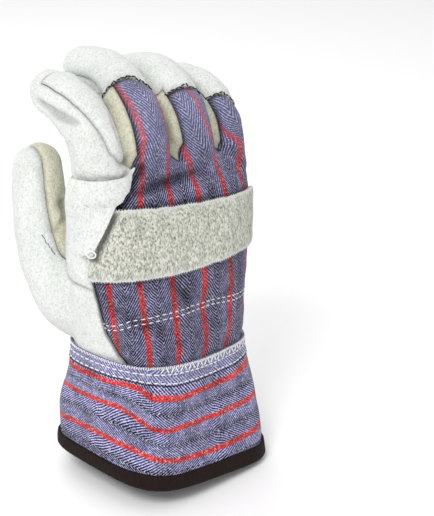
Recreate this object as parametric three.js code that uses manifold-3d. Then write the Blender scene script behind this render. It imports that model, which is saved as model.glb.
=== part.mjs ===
// Rigger glove for the right hand: split leather palm, fingers and thumb, striped cloth back,
// a knuckle strap and a stiff safety cuff with a bound hem. Millimetres, +Z towards the fingers,
// back of the hand towards -Y, thumb on the -X side. The origin is the middle of the cuff's mouth.
import * as THREE from 'three';
import { mergeVertices } from 'three/addons/utils/BufferGeometryUtils.js';
import Module from 'manifold-3d';

const wasm = await Module();
wasm.setup();

// Walls and clearances
const LEATHER_WALL = 1.5;
const CUFF_WALL = 1.2;
const STRAP_WALL = 1.8;
const BINDING_WALL = 1.0;
const SEAM_GAP = 0.3;

// Cuff
const CUFF_LENGTH = 59;
const CUFF_OVERLAP = 6;
const MOUTH_WIDTH = 88;
const MOUTH_DEPTH = 81;
const WRIST_WIDTH = 89;
const WRIST_DEPTH = 65;
const BINDING_HEIGHT = 7;
const PATCH_HEIGHT = 22;
const PATCH_LAP = 1;

// Hand
const PALM_LENGTH = 100;
const PALM_WIDTH = 98;
const PALM_DEPTH = 60;
const STRAP_HEIGHT = 29;
const SIDE_STRIP_WIDTH = 9;
const SIDE_STRIP_DEPTH = 6;

// Fingers and thumb: where each stands across the palm, how far its end leans across it, how far it
// rises over the crotch line and curls to the palm side, and its width and depth at the root
const FINGERS = {
  index: { side: -0.34, lean: 0, rise: 21, reach: 50, width: 24, depth: 26 },
  middle: { side: -0.085, lean: -0.02, rise: 27, reach: 63, width: 24, depth: 26 },
  ring: { side: 0.18, lean: -0.05, rise: 23, reach: 54, width: 23.5, depth: 25 },
  little: { side: 0.388, lean: -0.03, rise: 16, reach: 45, width: 18.4, depth: 23 },
};
const THUMB = { side: -0.455, back: 0.62, length: 100, width: 28, depth: 29 };

// Sections of the cuff: up is a share of its length, widen runs from wrist 0 to mouth 1,
// side and back are shares of the mouth's width and depth, square the power of the outline,
// turn and tilt in degrees
const CUFF_SECTIONS = [
  { up: 0.0, widen: 1.0, side: 0.0, back: 0.0, square: 4.2, turn: 8, tilt: 7 },
  { up: 0.25, widen: 0.78, side: 0.0, back: 0.0, square: 3.9, turn: 9, tilt: 7 },
  { up: 0.5, widen: 0.46, side: 0.0, back: -0.01, square: 3.5, turn: 11, tilt: 7 },
  { up: 0.75, widen: 0.16, side: 0.005, back: -0.02, square: 3.1, turn: 14, tilt: 7 },
  { up: 1.0, widen: 0.0, side: 0.01, back: -0.03, square: 3.0, turn: 16, tilt: 7 },
];

// Sections of the hand above the cuff: up is a share of the palm's length, side and width of its
// width, back and depth of its depth
const HAND_SECTIONS = [
  { up: 0.08, side: 0.0, back: -0.03, width: 0.9, depth: 1.07, square: 2.8, turn: 13, tilt: 6 },
  { up: 0.22, side: -0.01, back: -0.01, width: 0.95, depth: 1.05, square: 2.5, turn: 9, tilt: 4 },
  { up: 0.41, side: -0.01, back: 0.0, width: 0.99, depth: 1.0, square: 2.3, turn: 5, tilt: 2 },
  { up: 0.6, side: 0.0, back: 0.0, width: 1.0, depth: 0.92, square: 2.2, turn: 2, tilt: 0 },
  { up: 0.77, side: 0.01, back: -0.02, width: 0.99, depth: 0.81, square: 2.2, turn: 0, tilt: 0 },
  { up: 0.88, side: 0.01, back: -0.05, width: 0.95, depth: 0.67, square: 2.2, turn: 0, tilt: 0 },
  { up: 0.94, side: 0.01, back: -0.08, width: 0.91, depth: 0.5, square: 2.2, turn: 0, tilt: 0 },
  { up: 0.975, side: 0.01, back: -0.09, width: 0.86, depth: 0.3, square: 2.2, turn: 0, tilt: 0 },
  { up: 0.99, side: 0.01, back: -0.09, width: 0.8, depth: 0.1, square: 2.2, turn: 0, tilt: 0 },
];

// Sections of a finger: up is a share of its rise over the crotch line (root under it in shares
// of the palm's length), curl of its reach, width and depth of its own
const FINGER_SECTIONS = {
  index: [
    { root: -0.19, up: 0.0, curl: 0.0, width: 0.98, depth: 1.02 },
    { root: 0.0, up: 0.12, curl: 0.08, width: 1.0, depth: 0.97 },
    { root: 0.0, up: 0.7, curl: 0.3, width: 0.98, depth: 0.93 },
    { root: 0.0, up: 0.95, curl: 0.56, width: 0.95, depth: 0.9 },
    { root: 0.0, up: 1.0, curl: 0.78, width: 0.9, depth: 0.86 },
  ],
  middle: [
    { root: -0.18, up: 0.0, curl: 0.0, width: 0.99, depth: 1.02 },
    { root: 0.0, up: 0.17, curl: 0.05, width: 1.0, depth: 0.97 },
    { root: 0.0, up: 0.68, curl: 0.19, width: 0.99, depth: 0.93 },
    { root: 0.0, up: 0.98, curl: 0.45, width: 0.97, depth: 0.9 },
    { root: 0.0, up: 0.95, curl: 0.76, width: 0.93, depth: 0.87 },
  ],
  ring: [
    { root: -0.18, up: 0.0, curl: 0.0, width: 0.99, depth: 1.03 },
    { root: 0.0, up: 0.14, curl: 0.06, width: 1.0, depth: 0.97 },
    { root: 0.0, up: 0.64, curl: 0.2, width: 0.99, depth: 0.94 },
    { root: 0.0, up: 0.96, curl: 0.46, width: 0.96, depth: 0.91 },
    { root: 0.0, up: 0.92, curl: 0.76, width: 0.91, depth: 0.87 },
  ],
  little: [
    { root: -0.2, up: 0.0, curl: 0.01, width: 1.0, depth: 1.04 },
    { root: 0.0, up: 0.06, curl: 0.08, width: 1.0, depth: 0.96 },
    { root: 0.0, up: 0.62, curl: 0.22, width: 0.98, depth: 0.91 },
    { root: 0.0, up: 0.95, curl: 0.46, width: 0.93, depth: 0.87 },
    { root: 0.0, up: 1.0, curl: 0.74, width: 0.88, depth: 0.83 },
  ],
};

// Sections of the thumb: along is a share of its length over the cuff, inward a share of the palm's
// width towards its middle, out a share of the thumb's own stand-off to the palm side
const THUMB_SECTIONS = [
  { along: 0.14, inward: 0.16, out: 0.2, width: 0.9, depth: 1.0 },
  { along: 0.27, inward: 0.065, out: 0.47, width: 1.18, depth: 1.2 },
  { along: 0.45, inward: 0.01, out: 0.68, width: 1.1, depth: 1.1 },
  { along: 0.6, inward: -0.005, out: 0.81, width: 1.0, depth: 1.0 },
  { along: 0.74, inward: 0.0, out: 0.92, width: 0.9, depth: 0.9 },
  { along: 0.87, inward: 0.01, out: 0.98, width: 0.8, depth: 0.79 },
];

// Seam lines round the hand in degrees from the middle of the back: left to the thumb side,
// right to the little finger side
const BACK_SEAMS = [
  { up: -0.2, left: 44, right: 76 },
  { up: 0.0, left: 55, right: 76 },
  { up: 0.07, left: 63.5, right: 76 },
  { up: 0.18, left: 69.5, right: 76 },
  { up: 0.35, left: 72, right: 76 },
  { up: 0.56, left: 78, right: 76 },
  { up: 0.72, left: 72, right: 79 },
  { up: 0.85, left: 61, right: 86 },
  { up: 0.93, left: 64, right: 90 },
  { up: 0.98, left: 82, right: 90 },
  { up: 1.02, left: 88, right: 90 },
];
const STRAP_EDGES = [
  { up: 0.465, left: 76, right: 74, slope: 0.0 },
  { up: 0.465 + STRAP_HEIGHT / PALM_LENGTH, left: 76, right: 74, slope: 0.07 },
];
const FLAP_EDGES = [
  { up: 0.58, left: 80, right: -73, slope: 0.0 },
  { up: 0.92, left: 89, right: -62, slope: 0.0 },
];
const PATCH_EDGES = [
  { up: -PATCH_HEIGHT / PALM_LENGTH, left: -144, right: 212 },
  { up: (-0.9 * PATCH_HEIGHT) / PALM_LENGTH, left: -135, right: 221 },
  { up: (-0.7 * PATCH_HEIGHT) / PALM_LENGTH, left: -130, right: 226 },
  { up: 0.01, left: -128, right: 228 },
];
const WING_TO_PALM = 148;
const MID_PALM_SEAM = 0.41;
const FINGER_BASE_SEAM = 0.9;
const SIDE_STRIP_END = 0.58;
const SIDE_STRIP_POINT = 0.93;
const SIDE_STRIP_TAPER = 0.08;
const SIDE_STRIP_EDGES = [0.9, 0.8];
const SIDE_STRIP_REACH = 1.5;
const INDEX_CROTCH = 0.93;
const WEB_LIFT_START = 0.8;
const WEB_LIFT_END = 0.95;
const FINGER_SET_BACK = 0.04;

// Cloth lobes on the finger backs: start of the lobe, start and end of the round cap seam in shares
// of the path, slant of that end to either side, width in shares of the finger's, blunt the power
// of the round end
const LOBES = {
  middle: { start: 0.18, round: 0.46, end: 0.56, slant: -0.05, wide: 1.2, blunt: 4 },
  ring: { start: 0.18, round: 0.42, end: 0.52, slant: -0.03, wide: 1.2, blunt: 4 },
  little: { start: 0.18, round: 0.42, end: 0.54, slant: -0.05, wide: 1.2, blunt: 4 },
};
const TIP_UNDER_LOBE = 0.1;

// Seam along the back of the index finger: up is a share of its path, side a share of half its width
const INDEX_SEAM = [
  { up: 0.22, side: 0.55 },
  { up: 0.3, side: 0.0 },
  { up: 0.43, side: -0.28 },
  { up: 0.63, side: -0.63 },
  { up: 0.79, side: -0.77 },
  { up: 0.97, side: -0.8 },
];

// Inner thumb panel: first station, seam and reach in shares of half the thumb's width
const THUMB_PANEL = { station: 3, seam: -0.27, reach: 1.6 };

// Dents and bulges: radial depth in shares of the palm's depth, middle and spread in degrees from
// the middle of the back and in shares of the length that they lie on
const CUFF_DENTS = [
  { turn: -34, up: 0.62, depth: 0.035, wide: 16, tall: 0.22 },
  { turn: -62, up: 0.5, depth: -0.04, wide: 18, tall: 0.26 },
  { turn: 4, up: 0.45, depth: -0.035, wide: 18, tall: 0.3 },
  { turn: 48, up: 0.6, depth: 0.02, wide: 18, tall: 0.25 },
  { turn: 150, up: 0.5, depth: -0.04, wide: 24, tall: 0.3 },
  { turn: -130, up: 0.4, depth: 0.03, wide: 24, tall: 0.3 },
];
const HAND_DENTS = [
  { turn: 6, up: 0.26, depth: -0.04, wide: 14, tall: 0.07 },
  { turn: -8, up: 0.83, depth: -0.04, wide: 34, tall: 0.05 },
  { turn: 178, up: 0.72, depth: -0.05, wide: 40, tall: 0.09 },
  { turn: 150, up: 0.3, depth: 0.04, wide: 30, tall: 0.16 },
  { turn: -150, up: 0.34, depth: 0.05, wide: 30, tall: 0.16 },
];

// Fineness of the faceted solids
const HAND_SIDES = 24;
const FINGER_SIDES = 10;
const CUFF_STEPS = 1;
const HAND_STEPS = 1;
const FINGER_STEPS = 2;
const SMOOTH_STEPS = 4;
const STRIP_STEPS = 2;
const TIP_STEPS = 2;
const LOBE_END_STEPS = [0.55, 0.85, 0.97];
const CAP_LIFTS = [38, 72];
const FAR = 300;

// Run-outs of cutting solids past the faces that they cut
const BEYOND = 2;
const OPEN_END = 5;
const NEAR_SKIN = 0.45;
const WING_OVERLAP = 2;

const MATERIALS = {
  whiteLeather: { color: 0xe4e3dc, roughness: 0.9, metalness: 0 },
  greyLeather: { color: 0xc9c6b6, roughness: 0.95, metalness: 0 },
  creamLeather: { color: 0xd8cfae, roughness: 0.9, metalness: 0 },
  stripedCloth: { color: 0x6c6b9a, roughness: 0.95, metalness: 0 },
  fadedCloth: { color: 0x8a8fb8, roughness: 0.95, metalness: 0 },
  brownBinding: { color: 0x3a2620, roughness: 0.7, metalness: 0 },
};

const radians = THREE.MathUtils.degToRad;
const signedPower = (value, power) => Math.sign(value) * Math.abs(value) ** power;
const gauss = (distance, spread) => Math.exp(-((distance / spread) ** 2));

// Catmull-Rom spline through every numeric column of a table of rows
function resample(rows, steps) {
  const at = (index) => rows[Math.min(Math.max(index, 0), rows.length - 1)];
  const result = [];
  for (let index = 0; index < rows.length - 1; index++) {
    for (let step = 0; step < steps; step++) {
      const t = step / steps;
      const row = {};
      for (const column of Object.keys(rows[0])) {
        const [a, b, c, d] = [-1, 0, 1, 2].map((offset) => at(index + offset)[column]);
        const line = 2 * b + (c - a) * t;
        const curve = (2 * a - 5 * b + 4 * c - d) * t ** 2 + (3 * b - a - 3 * c + d) * t ** 3;
        row[column] = (line + curve) / 2;
      }
      result.push(row);
    }
  }
  result.push({ ...at(rows.length - 1) });
  return result;
}

// Linear look-up of a table by its up column
function lookUp(rows, up) {
  const last = rows.length - 1;
  const next = rows.findIndex((row) => row.up > up);
  if (next === 0) return { ...rows[0] };
  if (next < 0) return { ...rows[last] };
  const [low, high] = [rows[next - 1], rows[next]];
  const t = (up - low.up) / (high.up - low.up);
  const row = {};
  for (const column of Object.keys(low)) row[column] = low[column] + (high[column] - low[column]) * t;
  return row;
}

// Closed solid from an indexed mesh, turned right side out
function solidOf(points, triangles) {
  let volume = 0;
  for (const [a, b, c] of triangles) {
    volume += points[a].dot(new THREE.Vector3().crossVectors(points[b], points[c]));
  }
  const faces = volume < 0 ? triangles.map(([a, b, c]) => [a, c, b]) : triangles;
  const vertProperties = new Float32Array(points.flatMap((point) => [point.x, point.y, point.z]));
  const triVerts = new Uint32Array(faces.flat());
  return new wasm.Manifold(new wasm.Mesh({ numProp: 3, vertProperties, triVerts }));
}

// Solid through a stack of closed rings with the same number of points
function loft(rings) {
  const sides = rings[0].length;
  const points = rings.flat();
  const triangles = [];
  for (let ring = 0; ring < rings.length - 1; ring++) {
    for (let side = 0; side < sides; side++) {
      const [a, b] = [ring * sides + side, ring * sides + ((side + 1) % sides)];
      triangles.push([a, b, b + sides], [a, b + sides, a + sides]);
    }
  }
  for (const [ring, flip] of [[0, true], [rings.length - 1, false]]) {
    const centre = new THREE.Vector3();
    rings[ring].forEach((point) => centre.addScaledVector(point, 1 / sides));
    const middle = points.push(centre) - 1;
    for (let side = 0; side < sides; side++) {
      const [a, b] = [ring * sides + side, ring * sides + ((side + 1) % sides)];
      triangles.push(flip ? [middle, b, a] : [middle, a, b]);
    }
  }
  return solidOf(points, triangles);
}

function boxSolid(low, high) {
  const size = new THREE.Vector3().subVectors(high, low);
  const box = new THREE.BoxGeometry(size.x, size.y, size.z);
  box.translate(low.x + size.x / 2, low.y + size.y / 2, low.z + size.z / 2);
  box.deleteAttribute('normal');
  box.deleteAttribute('uv');
  const merged = mergeVertices(box);
  const vertProperties = new Float32Array(merged.attributes.position.array);
  const triVerts = new Uint32Array(merged.index.array);
  return new wasm.Manifold(new wasm.Mesh({ numProp: 3, vertProperties, triVerts }));
}

const slab = (lowX, highX, lowY, highY, lowZ, highZ) =>
  boxSolid(new THREE.Vector3(lowX, lowY, lowZ), new THREE.Vector3(highX, highY, highZ));

// Radial bulge of a set of dents at a turn from the middle of the back and a share up
function dentDepth(dents, turn, up) {
  let depth = 0;
  for (const dent of dents) {
    const away = ((turn - dent.turn + 540) % 360) - 180;
    depth += dent.depth * PALM_DEPTH * gauss(away, dent.wide) * gauss(up - dent.up, dent.tall);
  }
  return depth;
}

// Point on a level section: turn runs in degrees from the back, positive to the little finger
function sectionPoint(section, turn, grow, dents) {
  const angle = radians(turn - 90);
  const power = 2 / section.square;
  const bulge = grow + dentDepth(dents, turn, section.up);
  const x = (section.halfWidth + bulge) * signedPower(Math.cos(angle), power);
  const y = (section.halfDepth + bulge) * signedPower(Math.sin(angle), power);
  const upward = new THREE.Vector3(0, 0, 1);
  const point = new THREE.Vector3(x, y, 0).applyAxisAngle(upward, radians(section.turn));
  point.z = section.z - Math.tan(radians(section.tilt)) * point.x;
  return point.add(new THREE.Vector3(section.x, section.y, 0));
}

function ring(section, grow, dents) {
  const turns = Array.from({ length: HAND_SIDES }, (_, side) => (side * 360) / HAND_SIDES);
  return turns.map((turn) => sectionPoint(section, turn, grow, dents));
}

// Cuff section at a share of its length
function cuffSection(up) {
  const row = lookUp(resample(CUFF_SECTIONS, SMOOTH_STEPS), up);
  const mix = (wrist, mouth) => (wrist + (mouth - wrist) * row.widen) / 2;
  return {
    up,
    x: row.side * MOUTH_WIDTH,
    y: -row.back * MOUTH_DEPTH,
    z: up * CUFF_LENGTH,
    halfWidth: mix(WRIST_WIDTH, MOUTH_WIDTH),
    halfDepth: mix(WRIST_DEPTH, MOUTH_DEPTH),
    square: row.square,
    turn: row.turn,
    tilt: row.tilt,
  };
}

// Solid inside the cuff's outer face grown by a length, from one height to another
function cuffSolid(grow, low, high) {
  const shares = [low / CUFF_LENGTH, high / CUFF_LENGTH];
  const levels = resample(CUFF_SECTIONS, CUFF_STEPS).map((row) => row.up);
  const clear = SEAM_GAP / CUFF_LENGTH;
  const inside = levels.filter((up) => up > shares[0] + clear && up < shares[1] - clear);
  const sections = [shares[0], ...inside, shares[1]].map(cuffSection);
  return loft(sections.map((section) => ring(section, grow, CUFF_DENTS)));
}

const palmHeight = (up) => CUFF_LENGTH + up * PALM_LENGTH;

// Hand sections: under the cuff's edge they stand one clearance inside the cuff, then follow the table
function handSections() {
  const tucked = -(CUFF_WALL + SEAM_GAP);
  const wristRow = (height) => {
    const section = cuffSection(height / CUFF_LENGTH);
    return {
      ...section,
      up: (height - CUFF_LENGTH) / PALM_LENGTH,
      halfWidth: section.halfWidth + tucked,
      halfDepth: section.halfDepth + tucked,
    };
  };
  const rows = HAND_SECTIONS.map((row) => ({
    up: row.up,
    x: row.side * PALM_WIDTH,
    y: -row.back * PALM_DEPTH,
    z: palmHeight(row.up),
    halfWidth: (row.width * PALM_WIDTH) / 2,
    halfDepth: (row.depth * PALM_DEPTH) / 2,
    square: row.square,
    turn: row.turn,
    tilt: row.tilt,
  }));
  const wrist = [wristRow(CUFF_LENGTH - CUFF_OVERLAP), wristRow(CUFF_LENGTH)];
  return resample([...wrist, ...rows], HAND_STEPS);
}

const HAND_ROWS = handSections();

// Body of the hand grown by a length; an inner body runs on below so that the wrist stays open
function palmSolid(grow, extra = 0) {
  const rows = HAND_ROWS.filter((row) => row.halfDepth + grow > 1);
  const lift = (row) => grow * THREE.MathUtils.smoothstep(row.up, WEB_LIFT_START, WEB_LIFT_END);
  const rings = rows.map((row) => ring({ ...row, z: row.z + lift(row) }, grow, HAND_DENTS));
  if (extra > 0) {
    const lowest = rings[0].map((point) => point.clone().setZ(point.z - extra));
    rings.unshift(lowest);
  }
  return loft(rings);
}

// Centre line stations of a limb with its across, back and tangent directions
function stations(rows) {
  const across = new THREE.Vector3(1, 0, 0);
  const points = rows.map((row) => new THREE.Vector3(row.x, row.y, row.z));
  let run = 0;
  return rows.map((row, index) => {
    const before = points[Math.max(index - 1, 0)];
    const after = points[Math.min(index + 1, rows.length - 1)];
    const tangent = new THREE.Vector3().subVectors(after, before).normalize();
    const lateral = across.clone().addScaledVector(tangent, -across.dot(tangent)).normalize();
    const back = new THREE.Vector3().crossVectors(lateral, tangent);
    if (index > 0) run += points[index].distanceTo(points[index - 1]);
    return { ...row, centre: points[index], tangent, lateral, back, run };
  });
}

function fingerStations(name) {
  const finger = FINGERS[name];
  const rows = FINGER_SECTIONS[name].map((row) => ({
    x: (finger.side + finger.lean * row.curl) * PALM_WIDTH,
    y: row.curl * finger.reach - FINGER_SET_BACK * PALM_DEPTH,
    z: palmHeight(1 + row.root) + row.up * finger.rise,
    halfWidth: (row.width * finger.width) / 2,
    halfDepth: (row.depth * finger.depth) / 2,
  }));
  return stations(resample(rows, FINGER_STEPS));
}

function thumbStations() {
  const rows = THUMB_SECTIONS.map((row) => ({
    x: (THUMB.side + row.inward) * PALM_WIDTH,
    y: row.out * THUMB.back * PALM_DEPTH,
    z: CUFF_LENGTH + row.along * THUMB.length,
    halfWidth: (row.width * THUMB.width) / 2,
    halfDepth: (row.depth * THUMB.depth) / 2,
  }));
  return stations(resample(rows, FINGER_STEPS));
}

const LIMBS = {
  index: fingerStations('index'),
  middle: fingerStations('middle'),
  ring: fingerStations('ring'),
  little: fingerStations('little'),
  thumb: thumbStations(),
};

const offset = (station, side, back, ahead = 0) =>
  station.centre
    .clone()
    .addScaledVector(station.lateral, side)
    .addScaledVector(station.back, back)
    .addScaledVector(station.tangent, ahead);

// Round-ended tube of a finger or the thumb, grown by a length
function limbSolid(limb, grow) {
  const grown = (station, share, ahead) =>
    limbRing(station, (station.halfWidth + grow) * share, (station.halfDepth + grow) * share, ahead);
  const rings = limb.map((station) => grown(station, 1, 0));
  const tip = limb[limb.length - 1];
  for (const lift of CAP_LIFTS) {
    const ahead = Math.sin(radians(lift)) * (tip.halfWidth + grow);
    rings.push(grown(tip, Math.cos(radians(lift)), ahead));
  }
  return loft(rings);
}

function limbRing(station, halfWidth, halfDepth, ahead) {
  return Array.from({ length: FINGER_SIDES }, (_, side) => {
    const angle = ((side + 0.5) / FINGER_SIDES) * 2 * Math.PI;
    return offset(station, Math.cos(angle) * halfWidth, Math.sin(angle) * halfDepth, ahead);
  });
}

// Whole hand grown by a length
function handSolid(grow, extra = 0) {
  const limbs = Object.values(LIMBS).map((limb) => limbSolid(limb, grow));
  return limbs.reduce((hand, limb) => hand.add(limb), palmSolid(grow, extra));
}

// Wedge of the hand between two turns from the middle of the back, wider by a margin. Each edge has
// a point near the skin, so that a seam between two rows runs straight there
function wedge(rows, margin) {
  const rings = rows.map((row) => {
    const centre = new THREE.Vector3(0, 0, palmHeight(row.up));
    const level = (turn, reach) => {
      const angle = radians(turn);
      return new THREE.Vector3(Math.sin(angle), -Math.cos(angle), 0).multiplyScalar(reach);
    };
    const edge = (turn, outward) =>
      [NEAR_SKIN, 1].map((share) => level(turn, share * PALM_WIDTH).add(level(turn + outward, margin)));
    const spread = row.right + row.left;
    const arc = [0.25, 0.5, 0.75].map((share) => level(spread * share - row.left, PALM_WIDTH));
    const rightEdge = edge(row.right, 90).reverse();
    const outline = [level(0, -margin), ...edge(-row.left, -90), ...arc, ...rightEdge];
    for (const point of outline) point.z -= (row.slope ?? 0) * point.x;
    return outline.map((point) => point.add(centre));
  });
  return loft(rings);
}

// Region on the back of a finger through shares of its path: side limits in mm at each station, back
// over a level, run past the tip where the last share is 1, and slanted by a slope past the first
function fingerBack(limb, shares, level, sides, slope = 0) {
  const tip = limb[limb.length - 1];
  const rings = shares.map((share, place) => {
    const station = stationAt(limb, share * tip.run);
    const [low, high] = sides(share, station);
    return backRing(station, low, high, level, 0, place > 0 ? slope : 0);
  });
  if (shares[shares.length - 1] >= 1) {
    const [low, high] = sides(1, tip);
    rings.push(backRing(tip, low, high, level, tip.halfWidth * BEYOND));
  }
  return loft(rings);
}

// Shares from one to another in equal steps
const between = (start, end, steps) =>
  Array.from({ length: steps + 1 }, (_, step) => start + ((end - start) * step) / steps);

function backRing(station, low, high, level, ahead, slope = 0) {
  const top = station.halfDepth * BEYOND;
  return [
    offset(station, low, level, ahead + low * slope),
    offset(station, high, level, ahead + high * slope),
    offset(station, high, top, ahead + high * slope),
    offset(station, low, top, ahead + low * slope),
  ];
}

// Station at a run along a limb, mixed from its two neighbours
function stationAt(limb, run) {
  const next = Math.max(limb.findIndex((station) => station.run > run), 1);
  if (run >= limb[limb.length - 1].run) return limb[limb.length - 1];
  const [low, high] = [limb[next - 1], limb[next]];
  const t = (run - low.run) / (high.run - low.run);
  const mixVector = (key) => low[key].clone().lerp(high[key], t);
  const mixNumber = (key) => low[key] + (high[key] - low[key]) * t;
  return {
    centre: mixVector('centre'),
    tangent: mixVector('tangent').normalize(),
    lateral: mixVector('lateral').normalize(),
    back: mixVector('back').normalize(),
    halfWidth: mixNumber('halfWidth'),
    halfDepth: mixNumber('halfDepth'),
  };
}

// Where two neighbouring fingers part at their roots, and how that plane slants to the palm side
function partingOf(...fingers) {
  const [a, b] = fingers.map((name) => FINGERS[name]);
  const [edgeA, edgeB] = [a.side * PALM_WIDTH + a.width / 2, b.side * PALM_WIDTH - b.width / 2];
  const slants = [a, b].map((finger) => (finger.lean * PALM_WIDTH) / finger.reach);
  return { x: (edgeA + edgeB) / 2, slant: (slants[0] + slants[1]) / 2, fingers };
}

const PARTINGS = {
  side_index_middle: partingOf('index', 'middle'),
  side_middle_ring: partingOf('middle', 'ring'),
  side_ring_little: partingOf('ring', 'little'),
};

// Space of one finger between its partings, over a height
function fingerSpace(name, margin, low = 0) {
  const edges = Object.values(PARTINGS);
  const place = Object.keys(FINGERS).indexOf(name);
  const left = edges[place - 1] ?? { x: -FAR, slant: 0 };
  const right = edges[place] ?? { x: FAR, slant: 0 };
  const side = (parting, out) => [
    [parting.x + out, -FAR],
    [parting.x + out, 0],
    [parting.x + out + parting.slant * FAR, FAR],
  ];
  const outline = [...side(left, -margin), ...side(right, margin).reverse()];
  return loft([low, FAR].map((z) => outline.map(([x, y]) => new THREE.Vector3(x, y, z))));
}

// Strip of leather between two fingers: their facing sides, pointed at the crotch
function sideStripRegion(parting, margin) {
  const half = SIDE_STRIP_WIDTH / 2 + margin;
  const point = palmHeight(SIDE_STRIP_POINT) - margin;
  const shoulder = palmHeight(SIDE_STRIP_POINT + SIDE_STRIP_TAPER);
  const outline = [[0, point], [half, shoulder], [FAR, shoulder], [FAR, FAR]];
  const mirrored = outline.slice(1).reverse().map(([x, z]) => [-x, z]);
  const outlineAt = (y) =>
    [...outline, ...mirrored].map(([x, z]) => new THREE.Vector3(parting.x + x, y, z));
  const facing = parting.fingers.map((name, place) => {
    const limb = LIMBS[name];
    const end = SIDE_STRIP_END + margin / limb[limb.length - 1].run;
    const sides = (share, station) => {
      const inner = station.halfWidth * SIDE_STRIP_EDGES[place] - margin;
      const outer = station.halfWidth + SIDE_STRIP_REACH + margin;
      return place === 0 ? [inner, outer] : [-outer, -inner];
    };
    return fingerBack(limb, between(0, end, STRIP_STEPS), -SIDE_STRIP_DEPTH - margin, sides);
  });
  return loft([-FAR, FAR].map(outlineAt)).intersect(facing[0].add(facing[1]));
}

// Cloth lobe with a round, slanting end on the back of a finger
function lobeRegion(name, margin) {
  const lobe = LOBES[name];
  const limb = LIMBS[name];
  const length = limb[limb.length - 1].run;
  const sides = (share, station) => {
    const round = Math.max((share - lobe.round) / (lobe.end - lobe.round), 0);
    const taper = Math.sqrt(Math.max(1 - round ** lobe.blunt, 0));
    const half = station.halfWidth * lobe.wide * taper + margin + SEAM_GAP;
    return [-half, half];
  };
  const slope = (lobe.slant * length) / limb[0].halfWidth;
  const ends = LOBE_END_STEPS.map((step) => lobe.round + step * (lobe.end - lobe.round));
  const shares = [...between(lobe.start, lobe.round, 2), ...ends];
  const region = fingerBack(limb, shares, -margin, sides, slope);
  return region.intersect(fingerSpace(name, margin));
}

function tipRegion(name, margin) {
  const sides = (share, station) => [-station.halfWidth * BEYOND, station.halfWidth * BEYOND];
  const start = LOBES[name].round - TIP_UNDER_LOBE;
  const region = fingerBack(LIMBS[name], between(start, 1, TIP_STEPS), -margin, sides);
  return region.intersect(fingerSpace(name, margin));
}

// Back panel of the index finger, from the tip to the crotch
function indexBackRegion(margin) {
  const shares = INDEX_SEAM.map((row) => row.up);
  const sides = (share, station) => [
    lookUp(INDEX_SEAM, share).side * station.halfWidth - margin,
    station.halfWidth * BEYOND,
  ];
  const region = fingerBack(LIMBS.index, shares, -margin, sides);
  return region.intersect(fingerSpace('index', margin));
}

// Inner side of the thumb, from its seam on round to the palm
function thumbInnerRegion(margin) {
  const limb = LIMBS.thumb;
  const thumbRing = (station, ahead) => {
    const [seam, reach] = [THUMB_PANEL.seam, THUMB_PANEL.reach].map((at) => at * station.halfWidth);
    const deep = station.halfDepth * BEYOND;
    return [
      offset(station, seam - margin, -deep, ahead),
      offset(station, reach, -deep, ahead),
      offset(station, reach, deep, ahead),
      offset(station, seam - margin, deep, ahead),
    ];
  };
  const rings = limb.slice(THUMB_PANEL.station).map((station) => thumbRing(station, 0));
  const tip = limb[limb.length - 1];
  rings.push(thumbRing(tip, tip.halfWidth * BEYOND));
  return loft(rings).intersect(limbSolid(LIMBS.thumb, LEATHER_WALL + margin));
}

// Cloth back: clear of the index finger above its crotch, with a lobe on each of the other fingers
function backRegion(margin) {
  const high = palmHeight(INDEX_CROTCH);
  const above = slab(PARTINGS.side_index_middle.x - margin, FAR, -FAR, FAR, high - BEYOND, FAR);
  const room = slab(-FAR, FAR, -FAR, FAR, 0, high).add(above);
  const lobes = Object.keys(LOBES).map((name) => lobeRegion(name, margin));
  return lobes.reduce((region, lobe) => region.add(lobe), wedge(BACK_SEAMS, margin).intersect(room));
}

// Leather wing that joins the outer thumb to the cuff and the cloth back
function wingRegion(margin) {
  const rows = BACK_SEAMS.filter((row) => row.up < MID_PALM_SEAM);
  const top = { ...lookUp(BACK_SEAMS, MID_PALM_SEAM), up: MID_PALM_SEAM + margin / PALM_LENGTH };
  const wing = (row) => ({ up: row.up, left: WING_TO_PALM, right: WING_OVERLAP - row.left });
  return wedge([...rows, top].map(wing), margin).add(limbSolid(LIMBS.thumb, LEATHER_WALL + margin));
}

const fingerFrontRegion = (name, margin) =>
  fingerSpace(name, margin, palmHeight(FINGER_BASE_SEAM) - margin);

// Largest connected part of a solid, as a mesh geometry
function geometryOf(solid) {
  const mesh = solid.getMesh();
  const parent = Array.from({ length: mesh.vertProperties.length / 3 }, (_, index) => index);
  const root = (index) => {
    while (parent[index] !== index) index = parent[index] = parent[parent[index]];
    return index;
  };
  for (let face = 0; face < mesh.triVerts.length; face += 3) {
    parent[root(mesh.triVerts[face])] = root(mesh.triVerts[face + 1]);
    parent[root(mesh.triVerts[face + 1])] = root(mesh.triVerts[face + 2]);
  }
  const counts = {};
  for (const vertex of mesh.triVerts) counts[root(vertex)] = (counts[root(vertex)] ?? 0) + 1;
  const largest = Number(Object.keys(counts).reduce((a, b) => (counts[a] > counts[b] ? a : b)));
  const index = [];
  for (let face = 0; face < mesh.triVerts.length; face += 3) {
    if (root(mesh.triVerts[face]) === largest) index.push(...mesh.triVerts.slice(face, face + 3));
  }
  const geometry = new THREE.BufferGeometry();
  geometry.setAttribute('position', new THREE.BufferAttribute(new Float32Array(mesh.vertProperties), 3));
  geometry.setIndex(index);
  return geometry;
}

const glove = new THREE.Group();

function addPiece(name, solid, finish) {
  const mesh = new THREE.Mesh(geometryOf(solid), new THREE.MeshStandardMaterial(MATERIALS[finish]));
  mesh.name = name;
  glove.add(mesh);
}

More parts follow.
